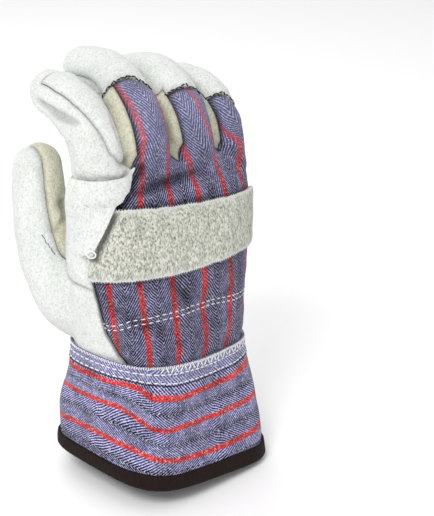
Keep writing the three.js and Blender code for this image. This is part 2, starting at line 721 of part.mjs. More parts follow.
// Hand panels are cut one after another from one hollow shell; each cut leaves half a seam gap
const cuffInside = (shrink, low, high) => cuffSolid(-CUFF_WALL - shrink, low, high);
const cuffRoom = cuffSolid(PALM_WIDTH / 4, 0, CUFF_LENGTH + SEAM_GAP).subtract(
  cuffInside(SEAM_GAP, -OPEN_END, CUFF_LENGTH + OPEN_END),
);
let shell = handSolid(0).subtract(handSolid(-LEATHER_WALL, CUFF_OVERLAP)).subtract(cuffRoom);
const cutPanel = (name, region, finish) => {
  addPiece(name, shell.intersect(region(-SEAM_GAP / 2)), finish);
  shell = shell.subtract(region(SEAM_GAP / 2));
};

for (const [name, parting] of Object.entries(PARTINGS)) {
  cutPanel(name, (margin) => sideStripRegion(parting, margin), 'creamLeather');
}
cutPanel('back_cloth', backRegion, 'stripedCloth');
for (const name of ['middle', 'ring', 'little']) {
  cutPanel(`tip_${name}`, (margin) => tipRegion(name, margin), 'whiteLeather');
}
cutPanel('thumb_inner', thumbInnerRegion, 'creamLeather');
cutPanel('thumb_outer', wingRegion, 'whiteLeather');
cutPanel('index_back', indexBackRegion, 'whiteLeather');

for (const name of Object.keys(FINGERS)) {
  cutPanel(`${name}_front`, (margin) => fingerFrontRegion(name, margin), 'whiteLeather');
}
cutPanel(
  'palm_upper',
  (margin) => slab(-FAR, FAR, -FAR, FAR, palmHeight(MID_PALM_SEAM) - margin, FAR),
  'whiteLeather',
);
addPiece('palm_lower', shell, 'whiteLeather');

// Knuckle strap across the back, and the three-cornered flap over its end beside the index finger
const skin = (low, high) => handSolid(high).subtract(handSolid(low));
const strapSkin = skin(SEAM_GAP, SEAM_GAP + STRAP_WALL);
addPiece('knuckle_strap', strapSkin.intersect(wedge(STRAP_EDGES, 0)), 'greyLeather');
const flapBase = 2 * SEAM_GAP + STRAP_WALL;
const flapSkin = skin(flapBase, flapBase + LEATHER_WALL);
addPiece('index_flap', flapSkin.intersect(wedge(FLAP_EDGES, 0)), 'whiteLeather');

// Cuff, its bound hem and the leather patch on the palm side
const cuffHollow = cuffInside(0, -OPEN_END, CUFF_LENGTH + OPEN_END);
addPiece('cuff', cuffSolid(0, 0, CUFF_LENGTH).subtract(cuffHollow), 'fadedCloth');

const bindingSkin = SEAM_GAP + BINDING_WALL;
const groove = cuffSolid(SEAM_GAP, -SEAM_GAP, BINDING_HEIGHT + BEYOND).subtract(
  cuffInside(SEAM_GAP, -OPEN_END, BINDING_HEIGHT + OPEN_END),
);
addPiece(
  'cuff_binding',
  cuffSolid(bindingSkin, -bindingSkin, BINDING_HEIGHT)
    .subtract(cuffInside(bindingSkin, -OPEN_END, BINDING_HEIGHT + OPEN_END))
    .subtract(groove),
  'brownBinding',
);

const patchTop = CUFF_LENGTH + PATCH_LAP;
const patchSkin = cuffSolid(SEAM_GAP + LEATHER_WALL, 0, patchTop).subtract(
  cuffSolid(SEAM_GAP, -OPEN_END, patchTop + BEYOND),
);
addPiece('wrist_patch', patchSkin.intersect(wedge(PATCH_EDGES, 0)), 'whiteLeather');

export default glove;
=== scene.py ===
"""Right-hand rigger glove: split leather palm and fingers, herringbone cloth back and cuff.

The skin of the whole hand is one fine mesh, grown from the same short tables of sections as
the solids. Seams are lines on it: each panel is cut along them, gets its wall, and is finished
with its own leather or cloth. Lengths in the tables are millimetres, meshes are metres.
"""

import math

import bpy
import numpy as np
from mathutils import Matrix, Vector, noise
from mathutils.kdtree import KDTree


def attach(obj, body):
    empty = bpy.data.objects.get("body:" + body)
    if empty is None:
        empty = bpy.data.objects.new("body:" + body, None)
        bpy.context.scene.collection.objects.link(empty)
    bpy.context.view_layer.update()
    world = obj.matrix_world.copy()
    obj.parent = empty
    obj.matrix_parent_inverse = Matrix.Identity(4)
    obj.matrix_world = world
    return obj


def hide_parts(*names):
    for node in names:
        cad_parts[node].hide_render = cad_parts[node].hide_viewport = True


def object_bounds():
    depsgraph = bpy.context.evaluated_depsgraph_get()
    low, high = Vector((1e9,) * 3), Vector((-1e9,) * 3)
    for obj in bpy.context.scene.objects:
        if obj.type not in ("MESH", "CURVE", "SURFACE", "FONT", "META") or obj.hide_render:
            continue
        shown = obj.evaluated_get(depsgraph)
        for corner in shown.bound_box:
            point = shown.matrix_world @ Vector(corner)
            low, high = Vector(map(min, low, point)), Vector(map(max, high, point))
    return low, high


bl_info = {
    "name": "Rigger Glove",
    "version": (1, 0, 0),
    "blender": (4, 5, 0),
    "location": "View3D > Sidebar > Glove",
    "description": "Builds a rigger glove of split leather and striped cloth over its solids",
    "category": "Object",
}

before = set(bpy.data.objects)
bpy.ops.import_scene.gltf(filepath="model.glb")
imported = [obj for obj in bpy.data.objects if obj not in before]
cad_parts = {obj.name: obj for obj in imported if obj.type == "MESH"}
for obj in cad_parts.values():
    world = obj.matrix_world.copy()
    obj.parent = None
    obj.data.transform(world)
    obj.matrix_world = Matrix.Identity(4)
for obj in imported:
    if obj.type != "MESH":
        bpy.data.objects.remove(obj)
CAD_BOX = [list(corner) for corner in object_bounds()]

MM = 0.001

# Sizes of the glove
CUFF_LENGTH, CUFF_OVERLAP = 59.0, 6.0
MOUTH_WIDTH, MOUTH_DEPTH = 88.0, 81.0
WRIST_WIDTH, WRIST_DEPTH = 89.0, 65.0
PALM_LENGTH, PALM_WIDTH, PALM_DEPTH = 100.0, 98.0, 60.0
LEATHER_WALL, CUFF_WALL, STRAP_WALL, BINDING_WALL, SEAM_GAP = 1.5, 1.2, 1.8, 1.0, 0.3
WRIST_SLANT = 0.11
BINDING_HEIGHT = 7.0
SIDE_STRIP_WIDTH, SIDE_STRIP_DEPTH = 9.0, 6.0

# Fingers: side across the palm, lean of the end, rise over the crotch line, reach to the palm side,
# width, depth
FINGERS = {
    "index": (-0.34, 0.0, 21.0, 50.0, 24.0, 26.0),
    "middle": (-0.085, -0.02, 27.0, 63.0, 24.0, 26.0),
    "ring": (0.18, -0.05, 23.0, 54.0, 23.5, 25.0),
    "little": (0.388, -0.03, 16.0, 45.0, 18.4, 23.0),
}
THUMB_SIDE, THUMB_OUT, THUMB_LENGTH, THUMB_WIDTH, THUMB_DEPTH = -0.455, 0.62, 100.0, 28.0, 29.0

# Cuff sections: up, widen, side, back, square, turn, tilt
CUFF_SECTIONS = [
    (0.0, 1.0, 0.0, 0.0, 4.2, 8, 7),
    (0.25, 0.78, 0.0, 0.0, 3.9, 9, 7),
    (0.5, 0.46, 0.0, -0.01, 3.5, 11, 7),
    (0.75, 0.16, 0.005, -0.02, 3.1, 14, 7),
    (1.0, 0.0, 0.01, -0.03, 3.0, 16, 7),
]
# Hand sections over the cuff: up, side, back, width, depth, square, turn, tilt
HAND_SECTIONS = [
    (0.08, 0.0, -0.03, 0.9, 1.07, 2.8, 13, 6),
    (0.22, -0.01, -0.01, 0.95, 1.05, 2.5, 9, 4),
    (0.41, -0.01, 0.0, 0.99, 1.0, 2.3, 5, 2),
    (0.6, 0.0, 0.0, 1.0, 0.92, 2.2, 2, 0),
    (0.77, 0.01, -0.02, 0.99, 0.81, 2.2, 0, 0),
    (0.88, 0.01, -0.05, 0.95, 0.67, 2.2, 0, 0),
    (0.94, 0.01, -0.08, 0.91, 0.5, 2.2, 0, 0),
    (0.975, 0.01, -0.09, 0.86, 0.3, 2.2, 0, 0),
    (0.99, 0.01, -0.09, 0.8, 0.1, 2.2, 0, 0),
]
# Finger sections: root, up, curl, width, depth
FINGER_SECTIONS = {
    "index": [
        (-0.19, 0.0, 0.0, 0.98, 1.02), (0.0, 0.12, 0.08, 1.0, 0.97), (0.0, 0.7, 0.3, 0.98, 0.93),
        (0.0, 0.95, 0.56, 0.95, 0.9), (0.0, 1.0, 0.78, 0.9, 0.86),
    ],
    "middle": [
        (-0.18, 0.0, 0.0, 0.99, 1.02), (0.0, 0.17, 0.05, 1.0, 0.97), (0.0, 0.68, 0.19, 0.99, 0.93),
        (0.0, 0.98, 0.45, 0.97, 0.9), (0.0, 0.95, 0.76, 0.93, 0.87),
    ],
    "ring": [
        (-0.18, 0.0, 0.0, 0.99, 1.03), (0.0, 0.14, 0.06, 1.0, 0.97), (0.0, 0.64, 0.2, 0.99, 0.94),
        (0.0, 0.96, 0.46, 0.96, 0.91), (0.0, 0.92, 0.76, 0.91, 0.87),
    ],
    "little": [
        (-0.2, 0.0, 0.01, 1.0, 1.04), (0.0, 0.06, 0.08, 1.0, 0.96), (0.0, 0.62, 0.22, 0.98, 0.91),
        (0.0, 0.95, 0.46, 0.93, 0.87), (0.0, 1.0, 0.74, 0.88, 0.83),
    ],
}
# Thumb sections: along, inward, out, width, depth
THUMB_SECTIONS = [
    (0.14, 0.16, 0.2, 0.9, 1.0), (0.27, 0.065, 0.47, 1.18, 1.2), (0.45, 0.01, 0.68, 1.1, 1.1),
    (0.6, -0.005, 0.81, 1.0, 1.0), (0.74, 0.0, 0.92, 0.9, 0.9), (0.87, 0.01, 0.98, 0.8, 0.79),
]
# Seams of the cloth back: up, degrees to the thumb side, degrees to the little finger side
BACK_SEAMS = [
    (-0.2, 44, 76), (0.0, 55, 76), (0.07, 63.5, 76), (0.18, 69.5, 76), (0.35, 72, 76), (0.56, 78, 76),
    (0.72, 72, 79), (0.85, 61, 86), (0.93, 64, 90), (0.98, 82, 90), (1.02, 88, 90),
]
STRAP_EDGES = [(0.465, 76, 74, 0.0), (0.755, 76, 74, 0.07)]
FLAP_EDGES = [(0.58, 80, -73, 0.0), (0.92, 89, -62, 0.0)]
PATCH_EDGES = [(-0.22, -144, 212, 0), (-0.198, -135, 221, 0), (-0.154, -130, 226, 0), (0.01, -128, 228, 0)]
WING_TO_PALM, MID_PALM_SEAM, FINGER_BASE_SEAM = 148.0, 0.41, 0.9
SIDE_STRIP_END, SIDE_STRIP_POINT, SIDE_STRIP_TAPER, INDEX_CROTCH = 0.58, 0.93, 0.08, 0.93
SIDE_STRIP_EDGES, SIDE_STRIP_REACH = (0.9, 0.8), 1.5
FINGER_SET_BACK = 0.04
# Cloth lobes on the fingers, in shares of the path: start, start and end of the round end, slant
LOBES = {
    "middle": (0.18, 0.46, 0.56, -0.05),
    "ring": (0.18, 0.42, 0.52, -0.03),
    "little": (0.18, 0.42, 0.54, -0.05),
}
LOBE_WIDE, LOBE_BLUNT, TIP_UNDER_LOBE = 1.2, 4, 0.1
# Seam along the back of the index finger: share of its path, share of half its width
INDEX_SEAM = [(0.22, 0.55), (0.3, 0.0), (0.43, -0.28), (0.63, -0.63), (0.79, -0.77), (0.97, -0.8)]
THUMB_SEAM, THUMB_PANEL_START = -0.27, 12

# Dents: turn, up, depth in shares of the palm's depth, wide in degrees, tall in shares
CUFF_DENTS = [
    (-34, 0.62, 0.035, 16, 0.22), (-62, 0.5, -0.04, 18, 0.26), (4, 0.45, -0.035, 18, 0.3),
    (48, 0.6, 0.02, 18, 0.25), (150, 0.5, -0.04, 24, 0.3), (-130, 0.4, 0.03, 24, 0.3),
]
HAND_DENTS = [
    (6, 0.26, -0.04, 14, 0.07), (-8, 0.83, -0.04, 34, 0.05), (178, 0.72, -0.05, 40, 0.09),
    (150, 0.3, 0.04, 30, 0.16), (-150, 0.34, 0.05, 30, 0.16),
]

# Folds pressed into the skin: depth, width, then the points that each runs through
FOLDS = [
    (2.4, 2.6, [(-27, -15, 141), (-14, -17, 144), (-5, -17, 145), (3, -17, 146), (13, -16, 147)]),
    (-1.6, 3.0, [(-26, -17, 137), (-10, -20, 138), (6, -20, 139), (16, -18, 140)]),
    (1.8, 2.2, [(-14, -30, 101), (-8, -31, 94), (-3, -31, 88)]),
    (1.3, 3.0, [(-40, -21, 92), (-30, -28, 84), (-16, -32, 78)]),
    (3.4, 3.0, [(-43, 36, 178), (-45.5, 26, 176.5), (-46, 16, 176), (-45.5, 9, 176), (-42, 1, 175)]),
    (2.8, 2.0, [(-21, -8, 151), (-22, -1, 158), (-23, 6, 165)]),
    (1.4, 2.4, [(-43, 26, 166), (-44, 12, 164), (-40, 1, 162)]),
    (4.0, 5.0, [(-38, 15, 128), (-38, 20, 135)]),
    (-1.6, 2.6, [(-46, 15, 126), (-42, 22, 127)]),
    (1.6, 2.4, [(-48, 14, 121), (-43, 20, 122)]),
    (1.2, 1.6, [(-53.4, 18.2, 118.7), (-50, 14.6, 110.6)]),
    (3.0, 1.8, [(-26, -1.5, 175), (-26, -5.8, 170), (-25.6, -7.7, 164)]),
    (1.6, 2.4, [(-43, 14, 152), (-33, 19, 153), (-23, 16, 153)]),
    (1.6, 2.4, [(-20, 16, 155), (-10, 20, 156), (0, 16, 155)]),
    (1.6, 2.4, [(3, 15, 154), (13, 19, 154), (24, 15, 153)]),
    (1.6, 2.4, [(26, 13, 150), (36, 16, 150), (45, 11, 149)]),
    (1.4, 2.6, [(-16, 40, 178), (-10, 43, 176), (-2, 40, 178)]),
    (1.4, 2.6, [(7, 35, 174), (13, 38, 172), (20, 35, 174)]),
    (1.4, 2.6, [(30, 28, 168), (36, 31, 166), (43, 27, 168)]),
    (1.8, 5.0, [(-30, 26, 96), (-18, 27, 112), (0, 25, 124), (20, 24, 128)]),
    (1.5, 4.0, [(-8, 31, 78), (2, 31, 92), (12, 28, 106)]),
]

# Where the red stripes cross the back: height, then the place of six stripes across the cloth
STRIPE_GUIDE = [
    (50, -44, -26, -14, 4.5, 22.5, 40.5),
    (75, -44, -28.5, -14, 4.5, 22.5, 40.5),
    (102, -44, -30.5, -14, 4.5, 22.5, 40),
    (120, -44, -29.5, -12.5, 5, 22.8, 39),
    (135, -42, -25, -9, 6, 23.5, 37),
    (148, -38, -17.5, -5, 7.4, 23.5, 35),
    (160, -34, -13.5, -2.4, 6.6, 21.5, 30),
    (172, -34, -14, -1.8, 6.2, 19, 27.5),
    (186, -34, -17, -3, 5.5, 15.5, 26),
    (200, -34, -19.5, -5, 5, 14, 25),
]
# A length in millimetres that no seam reaches
FAR = 300.0
# Where the pattern of the cloth starts to follow each finger, and over what height
FINGER_PATTERN_START, FINGER_PATTERN_BLEND = 146, 16
# Where the cloth gets paler to the fingers, over what height and how much
PALE_START, PALE_BLEND, PALE_SHARE = 138, 35, 0.8
# Sides of the body, a limb and the cuff, and rounds of smoothing of the form and of the cloth's pattern
BODY_SIDES, LIMB_SIDES, CUFF_SIDES, FORM_ROUNDS, PATTERN_ROUNDS = 120, 48, 360, 6, 50
# What one step makes and a later one needs
CACHE = {}
# The order in which the panels are cut from the skin
ORDER = [
    "side_index_middle", "side_middle_ring", "side_ring_little", "back_cloth",
    "tip_middle", "tip_ring", "tip_little", "thumb_inner", "thumb_outer", "index_back",
    "index_front", "middle_front", "ring_front", "little_front", "palm_upper", "palm_lower",
]


def mm_prop(name, default, description):
    return bpy.props.FloatProperty(
        name=name, default=default, min=0.0, soft_max=100.0, unit="NONE", description=description
    )


def colour_prop(name, code, description):
    return bpy.props.FloatVectorProperty(
        name=name, subtype="COLOR", size=4, min=0.0, max=1.0, default=linear(code),
        description=description,
    )


def linear(code):
    """sRGB hex to linear RGBA."""
    values = [int(code[i:i + 2], 16) / 255 for i in (0, 2, 4)]
    return tuple(v / 12.92 if v <= 0.04045 else ((v + 0.055) / 1.055) ** 2.4 for v in values) + (1.0,)


class GloveSizes(bpy.types.PropertyGroup):
    """Sizes that change the look of the sewing and the cloth"""
    mesh_step: mm_prop("Mesh step", 1.15, "Edge of a mesh face on the skin, in millimetres")
    seam_depth: mm_prop("Seam depth", 1.1, "How far a seam pulls the leather in, in millimetres")
    seam_width: mm_prop("Seam width", 1.9, "Half width of the valley at a seam, in millimetres")
    puff: mm_prop("Puff", 0.9, "How far a panel swells between its seams, in millimetres")
    stripe_pitch: mm_prop("Stripe pitch", 17.0, "Distance between red stripes, in millimetres")
    stripe_width: mm_prop("Stripe width", 2.9, "Width of a red stripe, in millimetres")
    twill_pitch: mm_prop("Twill pitch", 1.8, "Distance between twill ribs, in millimetres")
    stitch_pitch: mm_prop("Stitch pitch", 3.4, "Distance between stitches, in millimetres")
    thread: mm_prop("Thread", 0.55, "Thickness of the sewing thread, in millimetres")


class GloveColours(bpy.types.PropertyGroup):
    """Colours of the leathers, the cloth and the threads"""
    white: colour_prop("White leather", "DFE2DF", "Bleached split leather of the fingers and palm")
    cream: colour_prop("Cream leather", "D2D0BA", "Yellower split leather between the fingers")
    grey: colour_prop("Strap leather", "E0E1D4", "Coarse split leather of the strap")
    blue: colour_prop("Blue yarn", "535084", "Main yarn of the cloth")
    light: colour_prop("Light yarn", "ABACD2", "Pale yarn of the cloth")
    black: colour_prop("Black yarn", "12111C", "Dark yarn between the red stripes")
    red: colour_prop("Red yarn", "D2403F", "Yarn of the red stripes")
    tape: colour_prop("Tape", "1E1311", "Binding round the hem")
    thread: colour_prop("Thread", "ECEBEA", "White sewing thread")
    dark_thread: colour_prop("Dark thread", "15141A", "Black sewing thread at the finger caps")


def sizes():
    return bpy.context.scene.glove_sizes


def colours():
    return bpy.context.scene.glove_colours


# Sections and tubes

def spline(table, steps):
    """Catmull-Rom curve through the rows of a table."""
    rows = np.array(table, float)
    padded = np.vstack([rows[:1], rows, rows[-1:]])
    out = []
    for i in range(len(rows) - 1):
        a, b, c, d = padded[i:i + 4]
        for t in np.arange(steps) / steps:
            curve = (2 * a - 5 * b + 4 * c - d) * t**2 + (3 * b - a - 3 * c + d) * t**3
            out.append((2 * b + (c - a) * t + curve) / 2)
    out.append(rows[-1])
    return np.array(out)


def dent_depth(dents, turn, up):
    depth = np.zeros(np.broadcast(turn, up).shape)
    for at, high, deep, wide, tall in dents:
        away = (turn - at + 540) % 360 - 180
        depth += deep * PALM_DEPTH * np.exp(-(away / wide) ** 2) * np.exp(-((up - high) / tall) ** 2)
    return depth


def cuff_rows(heights):
    """Cuff sections at heights over the mouth: up, x, y, z, half width, half depth, square, turn, tilt."""
    fine = spline(CUFF_SECTIONS, 8)
    up = np.asarray(heights, float) / CUFF_LENGTH
    _, widen, side, back, square, turn, tilt = (np.interp(up, fine[:, 0], column) for column in fine.T)
    half_width = (WRIST_WIDTH + (MOUTH_WIDTH - WRIST_WIDTH) * widen) / 2
    half_depth = (WRIST_DEPTH + (MOUTH_DEPTH - WRIST_DEPTH) * widen) / 2
    place = (up, side * MOUTH_WIDTH, -back * MOUTH_DEPTH, up * CUFF_LENGTH)
    return np.stack(place + (half_width, half_depth, square, turn, tilt), 1)


def hand_rows():
    tucked = CUFF_WALL + SEAM_GAP
    wrist = cuff_rows([CUFF_LENGTH - CUFF_OVERLAP - 10, CUFF_LENGTH - CUFF_OVERLAP, CUFF_LENGTH])
    wrist[:, 4:6] -= tucked
    wrist[:, 0] = (wrist[:, 3] - CUFF_LENGTH) / PALM_LENGTH
    rows = [
        (up, side * PALM_WIDTH, -back * PALM_DEPTH, CUFF_LENGTH + up * PALM_LENGTH,
         width * PALM_WIDTH / 2, depth * PALM_DEPTH / 2, square, turn, tilt)
        for up, side, back, width, depth, square, turn, tilt in HAND_SECTIONS
    ]
    return spline(np.vstack([wrist, rows]), 5)


def section_rings(rows, sides, dents):
    """Points of closed rings, one ring a row: rounded boxes, dented, twisted and tilted."""
    turn = np.arange(sides) * 360 / sides
    up, x0, y0, z0, half_width, half_depth, square, twist, tilt = (c[:, None] for c in rows.T)
    angle = np.radians(turn - 90)[None]
    bulge = dent_depth(dents, turn[None], up)
    power = 2 / square
    x = (half_width + bulge) * np.sign(np.cos(angle)) * np.abs(np.cos(angle)) ** power
    y = (half_depth + bulge) * np.sign(np.sin(angle)) * np.abs(np.sin(angle)) ** power
    c, s = np.cos(np.radians(twist)), np.sin(np.radians(twist))
    x, y = x * c - y * s, x * s + y * c
    return np.stack([x + x0, y + y0, z0 - np.tan(np.radians(tilt)) * x], 2)


def tube(rings):
    """Closed tube through rings of points, with a fan over each end."""
    count, sides = rings.shape[:2]
    index = np.arange(count * sides).reshape(count, sides)
    a, b = index[:-1], np.roll(index, -1, 1)[:-1]
    c, d = np.roll(index, -1, 1)[1:], index[1:]
    faces = [tuple(f) for f in np.stack([a, b, c, d], 2).reshape(-1, 4)]
    points = np.vstack([rings.reshape(-1, 3), rings[0].mean(0), rings[-1].mean(0)])
    low, high = count * sides, count * sides + 1
    faces += [(low, (i + 1) % sides, i) for i in range(sides)]
    top = (count - 1) * sides
    faces += [(high, top + i, top + (i + 1) % sides) for i in range(sides)]
    return points, faces


class Limb:
    """Centre line of a finger or the thumb with its across, back and tangent directions."""

    def __init__(self, rows):
        self.centre, self.half_width, self.half_depth = rows[:, :3], rows[:, 3], rows[:, 4]
        step = np.vstack([self.centre[1:], self.centre[-1:]]) - np.vstack([self.centre[:1], self.centre[:-1]])
        self.tangent = step / np.linalg.norm(step, axis=1)[:, None]
        across = np.array([1.0, 0, 0])
        lateral = across - self.tangent * (self.tangent @ across)[:, None]
        self.lateral = lateral / np.linalg.norm(lateral, axis=1)[:, None]
        self.back = np.cross(self.lateral, self.tangent)
        self.run = np.r_[0, np.cumsum(np.linalg.norm(np.diff(self.centre, axis=0), axis=1))]

    def rings(self):
        """Rings along the limb, with a round end."""
        angle = (np.arange(LIMB_SIDES) + 0.5) / LIMB_SIDES * 2 * np.pi
        lift = np.radians(np.r_[np.zeros(len(self.run)), 14, 28, 42, 56, 70, 82])
        i = np.minimum(np.arange(len(lift)), len(self.run) - 1)
        ahead = np.sin(lift) * self.half_width[i]
        wide, deep = self.half_width[i] * np.cos(lift), self.half_depth[i] * np.cos(lift)
        middle = self.centre[i] + self.tangent[i] * ahead[:, None]
        side = self.lateral[i][:, None] * (wide[:, None] * np.cos(angle))[..., None]
        up = self.back[i][:, None] * (deep[:, None] * np.sin(angle))[..., None]
        return middle[:, None] + side + up

    def locate(self, points):
        """Run, side, back and size of the section, at the nearest place of the centre line."""
        best = np.full(len(points), 1e9)
        found = np.zeros((len(points), 6))
        for i in range(len(self.run) - 1):
            base, step = self.centre[i], self.centre[i + 1] - self.centre[i]
            t = np.clip((points - base) @ step / (step @ step), 0, 1)
            away = points - base - t[:, None] * step
            distance = (away**2).sum(1)
            near = distance < best
            best[near] = distance[near]
            t, away = t[near], away[near]
            mix = lambda values: values[i] + (values[i + 1] - values[i]) * t
            lateral = self.lateral[i] + (self.lateral[i + 1] - self.lateral[i]) * t[:, None]
            back = self.back[i] + (self.back[i + 1] - self.back[i]) * t[:, None]
            found[near] = np.stack([
                mix(self.run), (away * lateral).sum(1), (away * back).sum(1),
                mix(self.half_width), mix(self.half_depth), away @ self.tangent[i + 1],
            ], 1)
        past = found[:, 0] >= self.run[-1] - 1e-6
        found[past, 0] += np.maximum(found[past, 5], 0)
        return found[:, :5].T


def finger_limb(name):
    side, lean, rise, reach, width, depth = FINGERS[name]
    return Limb(spline([
        ((side + lean * curl) * PALM_WIDTH, curl * reach - FINGER_SET_BACK * PALM_DEPTH,
         CUFF_LENGTH + (1 + root) * PALM_LENGTH + up * rise, wide * width / 2, deep * depth / 2)
        for root, up, curl, wide, deep in FINGER_SECTIONS[name]
    ], 8))


def thumb_limb():
    return Limb(spline([
        ((THUMB_SIDE + inward) * PALM_WIDTH, out * THUMB_OUT * PALM_DEPTH, CUFF_LENGTH + along * THUMB_LENGTH,
         wide * THUMB_WIDTH / 2, deep * THUMB_DEPTH / 2)
        for along, inward, out, wide, deep in THUMB_SECTIONS
    ], 8))


# The skin of the hand as one fine mesh

def neighbours(faces, count):
    edges = np.vstack([faces[:, [0, 1]], faces[:, [1, 2]], faces[:, [2, 0]]])
    edges = np.unique(np.sort(edges, 1), axis=0)
    degree = np.bincount(edges.ravel(), minlength=count)
    return edges, np.maximum(degree, 1)[:, None]


def averaged(values, edges, degree):
    total = np.zeros_like(values)
    np.add.at(total, edges[:, 0], values[edges[:, 1]])
    np.add.at(total, edges[:, 1], values[edges[:, 0]])
    return total / degree


def smoothed(values, edges, degree, rounds):
    """Smoothing that keeps the size: a step in, then a step out."""
    for _ in range(rounds):
        for share in (0.5, -0.52):
            values = values + share * (averaged(values, edges, degree) - values)
    return values


def normals_of(points, faces):
    a, b, c = (points[faces[:, i]] for i in range(3))
    normal = np.zeros_like(points)
    cross = np.cross(b - a, c - a)
    for i in range(3):
        np.add.at(normal, faces[:, i], cross)
    return normal / np.maximum(np.linalg.norm(normal, axis=1), 1e-12)[:, None]


def remeshed(parts, step):
    """One skin round closed tubes that cross each other."""
    mesh = bpy.data.meshes.new("skin")
    points, faces, base = [], [], 0
    for part_points, part_faces in parts:
        points.append(part_points)
        faces += [tuple(i + base for i in face) for face in part_faces]
        base += len(part_points)
    mesh.from_pydata((np.vstack(points) * MM).tolist(), [], faces)
    skin = bpy.data.objects.new("skin", mesh)
    bpy.context.scene.collection.objects.link(skin)
    modifier = skin.modifiers.new("skin", "REMESH")
    modifier.mode = "VOXEL"
    modifier.voxel_size = step * MM
    graph = bpy.context.evaluated_depsgraph_get()
    result = bpy.data.meshes.new_from_object(skin.evaluated_get(graph))
    result.calc_loop_triangles()
    out = np.zeros(len(result.vertices) * 3)
    result.vertices.foreach_get("co", out)
    triangles = np.zeros(len(result.loop_triangles) * 3, int)
    result.loop_triangles.foreach_get("vertices", triangles)
    bpy.data.objects.remove(skin)
    bpy.data.meshes.remove(mesh)
    bpy.data.meshes.remove(result)
    return out.reshape(-1, 3) / MM, triangles.reshape(-1, 3)


def part_of(faces, count):
    """The lowest point number of the connected part that each face is in."""
    label = np.arange(count)
    while True:
        low = label[faces].min(1)
        before = label.copy()
        for i in range(3):
            np.minimum.at(label, faces[:, i], low)
        label = label[label]
        if (label == before).all():
            return label[faces[:, 0]]


def largest_part(points, faces):
    """Only the skin itself: bubbles inside it are dropped."""
    part = part_of(faces, len(points))
    return compact(points, faces[part == np.bincount(part).argmax()])


def compact(points, faces):
    used, inverse = np.unique(faces, return_inverse=True)
    return points[used], inverse.reshape(faces.shape)


def cut(skin, value):
    """The part of a skin where value, one number a point, is under 0, cut along its zero line.

    A skin is a dict of arrays, one row a point, with its triangles under "faces"."""
    faces = skin["faces"]
    inside = value[faces] < 0
    count = inside.sum(1)
    keep = [faces[count == 3]]
    ends, pieces = [], []
    total = len(value)
    for number in (1, 2):
        some = count == number
        odd = inside[some] if number == 1 else ~inside[some]
        first = odd.argmax(1)
        rolled = np.take_along_axis(faces[some], (first[:, None] + np.arange(3)) % 3, 1)
        pieces.append((number, rolled))
        ends += [rolled[:, [0, 1]], rolled[:, [0, 2]]]
    ends = np.sort(np.vstack(ends), 1) if ends else np.zeros((0, 2), int)
    cuts, back = np.unique(ends, axis=0, return_inverse=True)
    back = back.reshape(-1)
    start = 0
    for number, rolled in pieces:
        n = len(rolled)
        left, right = total + back[start:start + n], total + back[start + n:start + 2 * n]
        start += 2 * n
        if number == 1:
            keep.append(np.stack([rolled[:, 0], left, right], 1))
        else:
            keep.append(np.stack([left, rolled[:, 1], rolled[:, 2]], 1))
            keep.append(np.stack([left, rolled[:, 2], right], 1))
    t = value[cuts[:, 0]] / (value[cuts[:, 0]] - value[cuts[:, 1]])
    out = {}
    faces = np.vstack(keep)
    used, inverse = np.unique(faces, return_inverse=True)
    for key, values in skin.items():
        if key == "faces":
            continue
        share = t.reshape((-1,) + (1,) * (values.ndim - 1))
        mixed = values[cuts[:, 0]] * (1 - share) + values[cuts[:, 1]] * share
        out[key] = np.concatenate([values, mixed])[used]
    out["faces"] = inverse.reshape(faces.shape)
    return out


def trace(skin, value):
    """Chains of points, with their normals, along the zero line of a value on a skin."""
    faces = skin["faces"]
    sign = value[faces] < 0
    mixed = faces[(sign.sum(1) > 0) & (sign.sum(1) < 3)]
    links, places = {}, {}
    for face in mixed.tolist():
        crossed = []
        for a, b in ((0, 1), (1, 2), (2, 0)):
            i, j = sorted((face[a], face[b]))
            if (value[i] < 0) != (value[j] < 0):
                crossed.append((i, j))
                if (i, j) not in places:
                    t = value[i] / (value[i] - value[j])
                    places[i, j] = (
                        skin["point"][i] * (1 - t) + skin["point"][j] * t,
                        skin["normal"][i] * (1 - t) + skin["normal"][j] * t,
                    )
        if len(crossed) == 2:
            links.setdefault(crossed[0], []).append(crossed[1])
            links.setdefault(crossed[1], []).append(crossed[0])
    chains, seen = [], set()
    starts = sorted(links, key=lambda key: (len(links[key]) > 1, key))
    for start in starts:
        if start in seen:
            continue
        chain, here = [start], start
        seen.add(start)
        while True:
            ahead = [key for key in links[here] if key not in seen]
            if not ahead:
                break
            here = ahead[0]
            seen.add(here)
            chain.append(here)
        if start in links[here] and len(chain) > 8:
            chain.append(start)
        if len(chain) > 6:
            chains.append(np.array([np.r_[places[key][0], places[key][1]] for key in chain]))
    return chains


# Fields on the skin: which panel a point is in, in millimetres from its seam

def wrapped(turn, middle):
    return (turn - middle + 540) % 360 - 180 + middle


def wedge(points, rows):
    """Millimetres outside a wedge between two turns from the middle of the back; inside it is negative.

    A row is a height, two turns and, in the last row, how far the top edge falls across the back."""
    x, y, z = points.T
    rows = np.array([tuple(row) + (0.0,) * (4 - len(row)) for row in rows], float)
    low, high = height(rows[0, 0]), height(rows[-1, 0]) - rows[-1, 3] * x
    share = rows[0, 0] + (rows[-1, 0] - rows[0, 0]) * np.clip((z - low) / (high - low), 0, 1)
    left, right = np.interp(share, rows[:, 0], rows[:, 1]), np.interp(share, rows[:, 0], rows[:, 2])
    turn = np.degrees(np.arctan2(x, -y))
    turn = wrapped(turn, (right - left) / 2)
    sides = np.radians(np.maximum(-left - turn, turn - right)) * np.hypot(x, y)
    return np.maximum.reduce([sides, low - z, z - high])


def height(up):
    return CUFF_LENGTH + up * PALM_LENGTH


